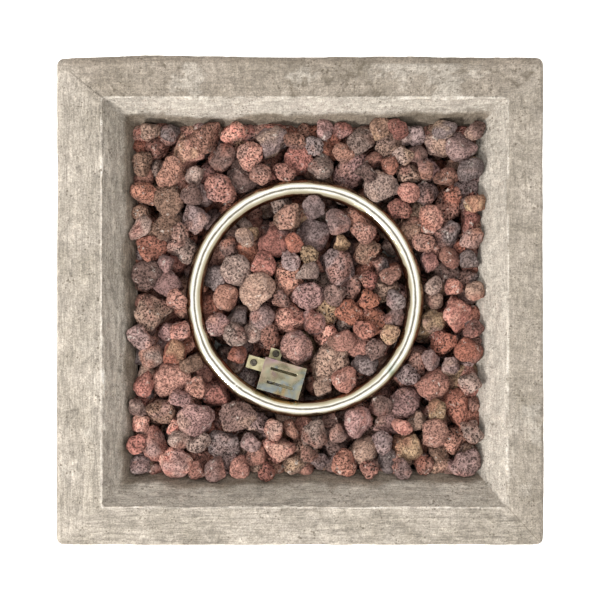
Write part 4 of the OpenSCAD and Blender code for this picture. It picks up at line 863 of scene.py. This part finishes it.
# Pilot cover: a folded stainless box over the pilot flame, held by the bracket's screws. The heat has
# coloured its top in drifting bands of violet, pink, straw and blue, and left the sheet slightly waved.
tempered, tree, shader, shades = worked(
    "heat_coloured_sheet", "#B4AC9F", "#948B7E", (0.22, 0.36), 1.0, (11.1, 11.1, 11.1), 0.0003)
tone = add(tree, "TexNoise", {
    "Vector": add(tree, "TexCoord").outputs["Object"], "Scale": 1 / 0.026, "Detail": 2.0, "Distortion": 0.6})
bands = add(tree, "ValToRGB", {0: tone}, stops=[
    (0.32, "#BC98A8"), (0.74, "#C4A06E"), (0.40, "#C2A8A2"), (0.47, "#BDAE92"), (0.54, "#A9A88E"),
    (0.60, "#94A2A8"), (0.66, "#B5A986")])
oiled = add(tree, "MixRGB", {"Fac": 0.8, "Color1": shades, "Color2": bands})
tree.links.new(oiled.outputs[0], shader.inputs["Base Color"])
machined(tempered, 0.0006, "pilot_cover")

# Controls: the panel is screwed into the recess and carries the valve's knob and the push igniter.
# Brushed stainless: the panel, grained from left to right. Real grain is 0.1 mm wide, here drawn at 0.4 mm.
brushed = worked("brushed_stainless_panel", "#A5A5A3", "#8C8C8A", (0.26, 0.40), 1.0, (71.4, 3.33, 0.385),
                 0.00006, Anisotropic=0.4)[0]
machined(brushed, 0.0005, "control_panel")
# Black moulding: matt grain, a little lighter where fingers rub.
moulded = worked(
    "grained_black_moulding", "#232323", "#151515", (0.42, 0.62), 0.0, (1.11, 1.11, 1.11), 0.0003)[0]
machined(moulded, 0.0009, "control_knob igniter_housing igniter_nut catch_magnet")
# Red moulding: the glossy push button, with faint moulding ripples.
glossy = worked("glossy_red_moulding", "#A8160F", "#8E110C", (0.14, 0.26), 0.0, (6.25, 6.25, 6.25), 0.0001,
                Coat_Weight=0.4)[0]
machined(glossy, 0.0008, "igniter_button")

# Door fittings and feet: the knob and the hinges are screwed to the stone, and the feet are on studs.
# Satin stainless: the turned door knob, with fine rings along its axis, drawn 0.4 mm apart.
satin = worked(
    "satin_turned_stainless", "#B4B3B0", "#979693", (0.24, 0.38), 1.0, (4.17, 0.417, 4.17), 0.00008)[0]
machined(satin, 0.0007, "door_knob")
# Hinge stainless: stamped leaves with a brushed face.
stamped = worked(
    "stamped_stainless", "#A6A6A3", "#8A8A87", (0.28, 0.44), 1.0, (16.7, 16.7, 0.667), 0.0001)[0]
machined(stamped, 0.0004, "door_leaf_upper door_leaf_lower frame_leaf_upper frame_leaf_lower "
                          "hinge_pin_upper hinge_pin_lower")
# Foot rubber: charcoal, dusty and dull.
rubber = worked("dusty_rubber", "#2B2A28", "#171716", (0.7, 0.88), 0.0, (3.85, 3.85, 3.85), 0.0003)[0]
machined(rubber, 0.0015, "foot_front_left foot_front_right foot_back_left foot_back_right")
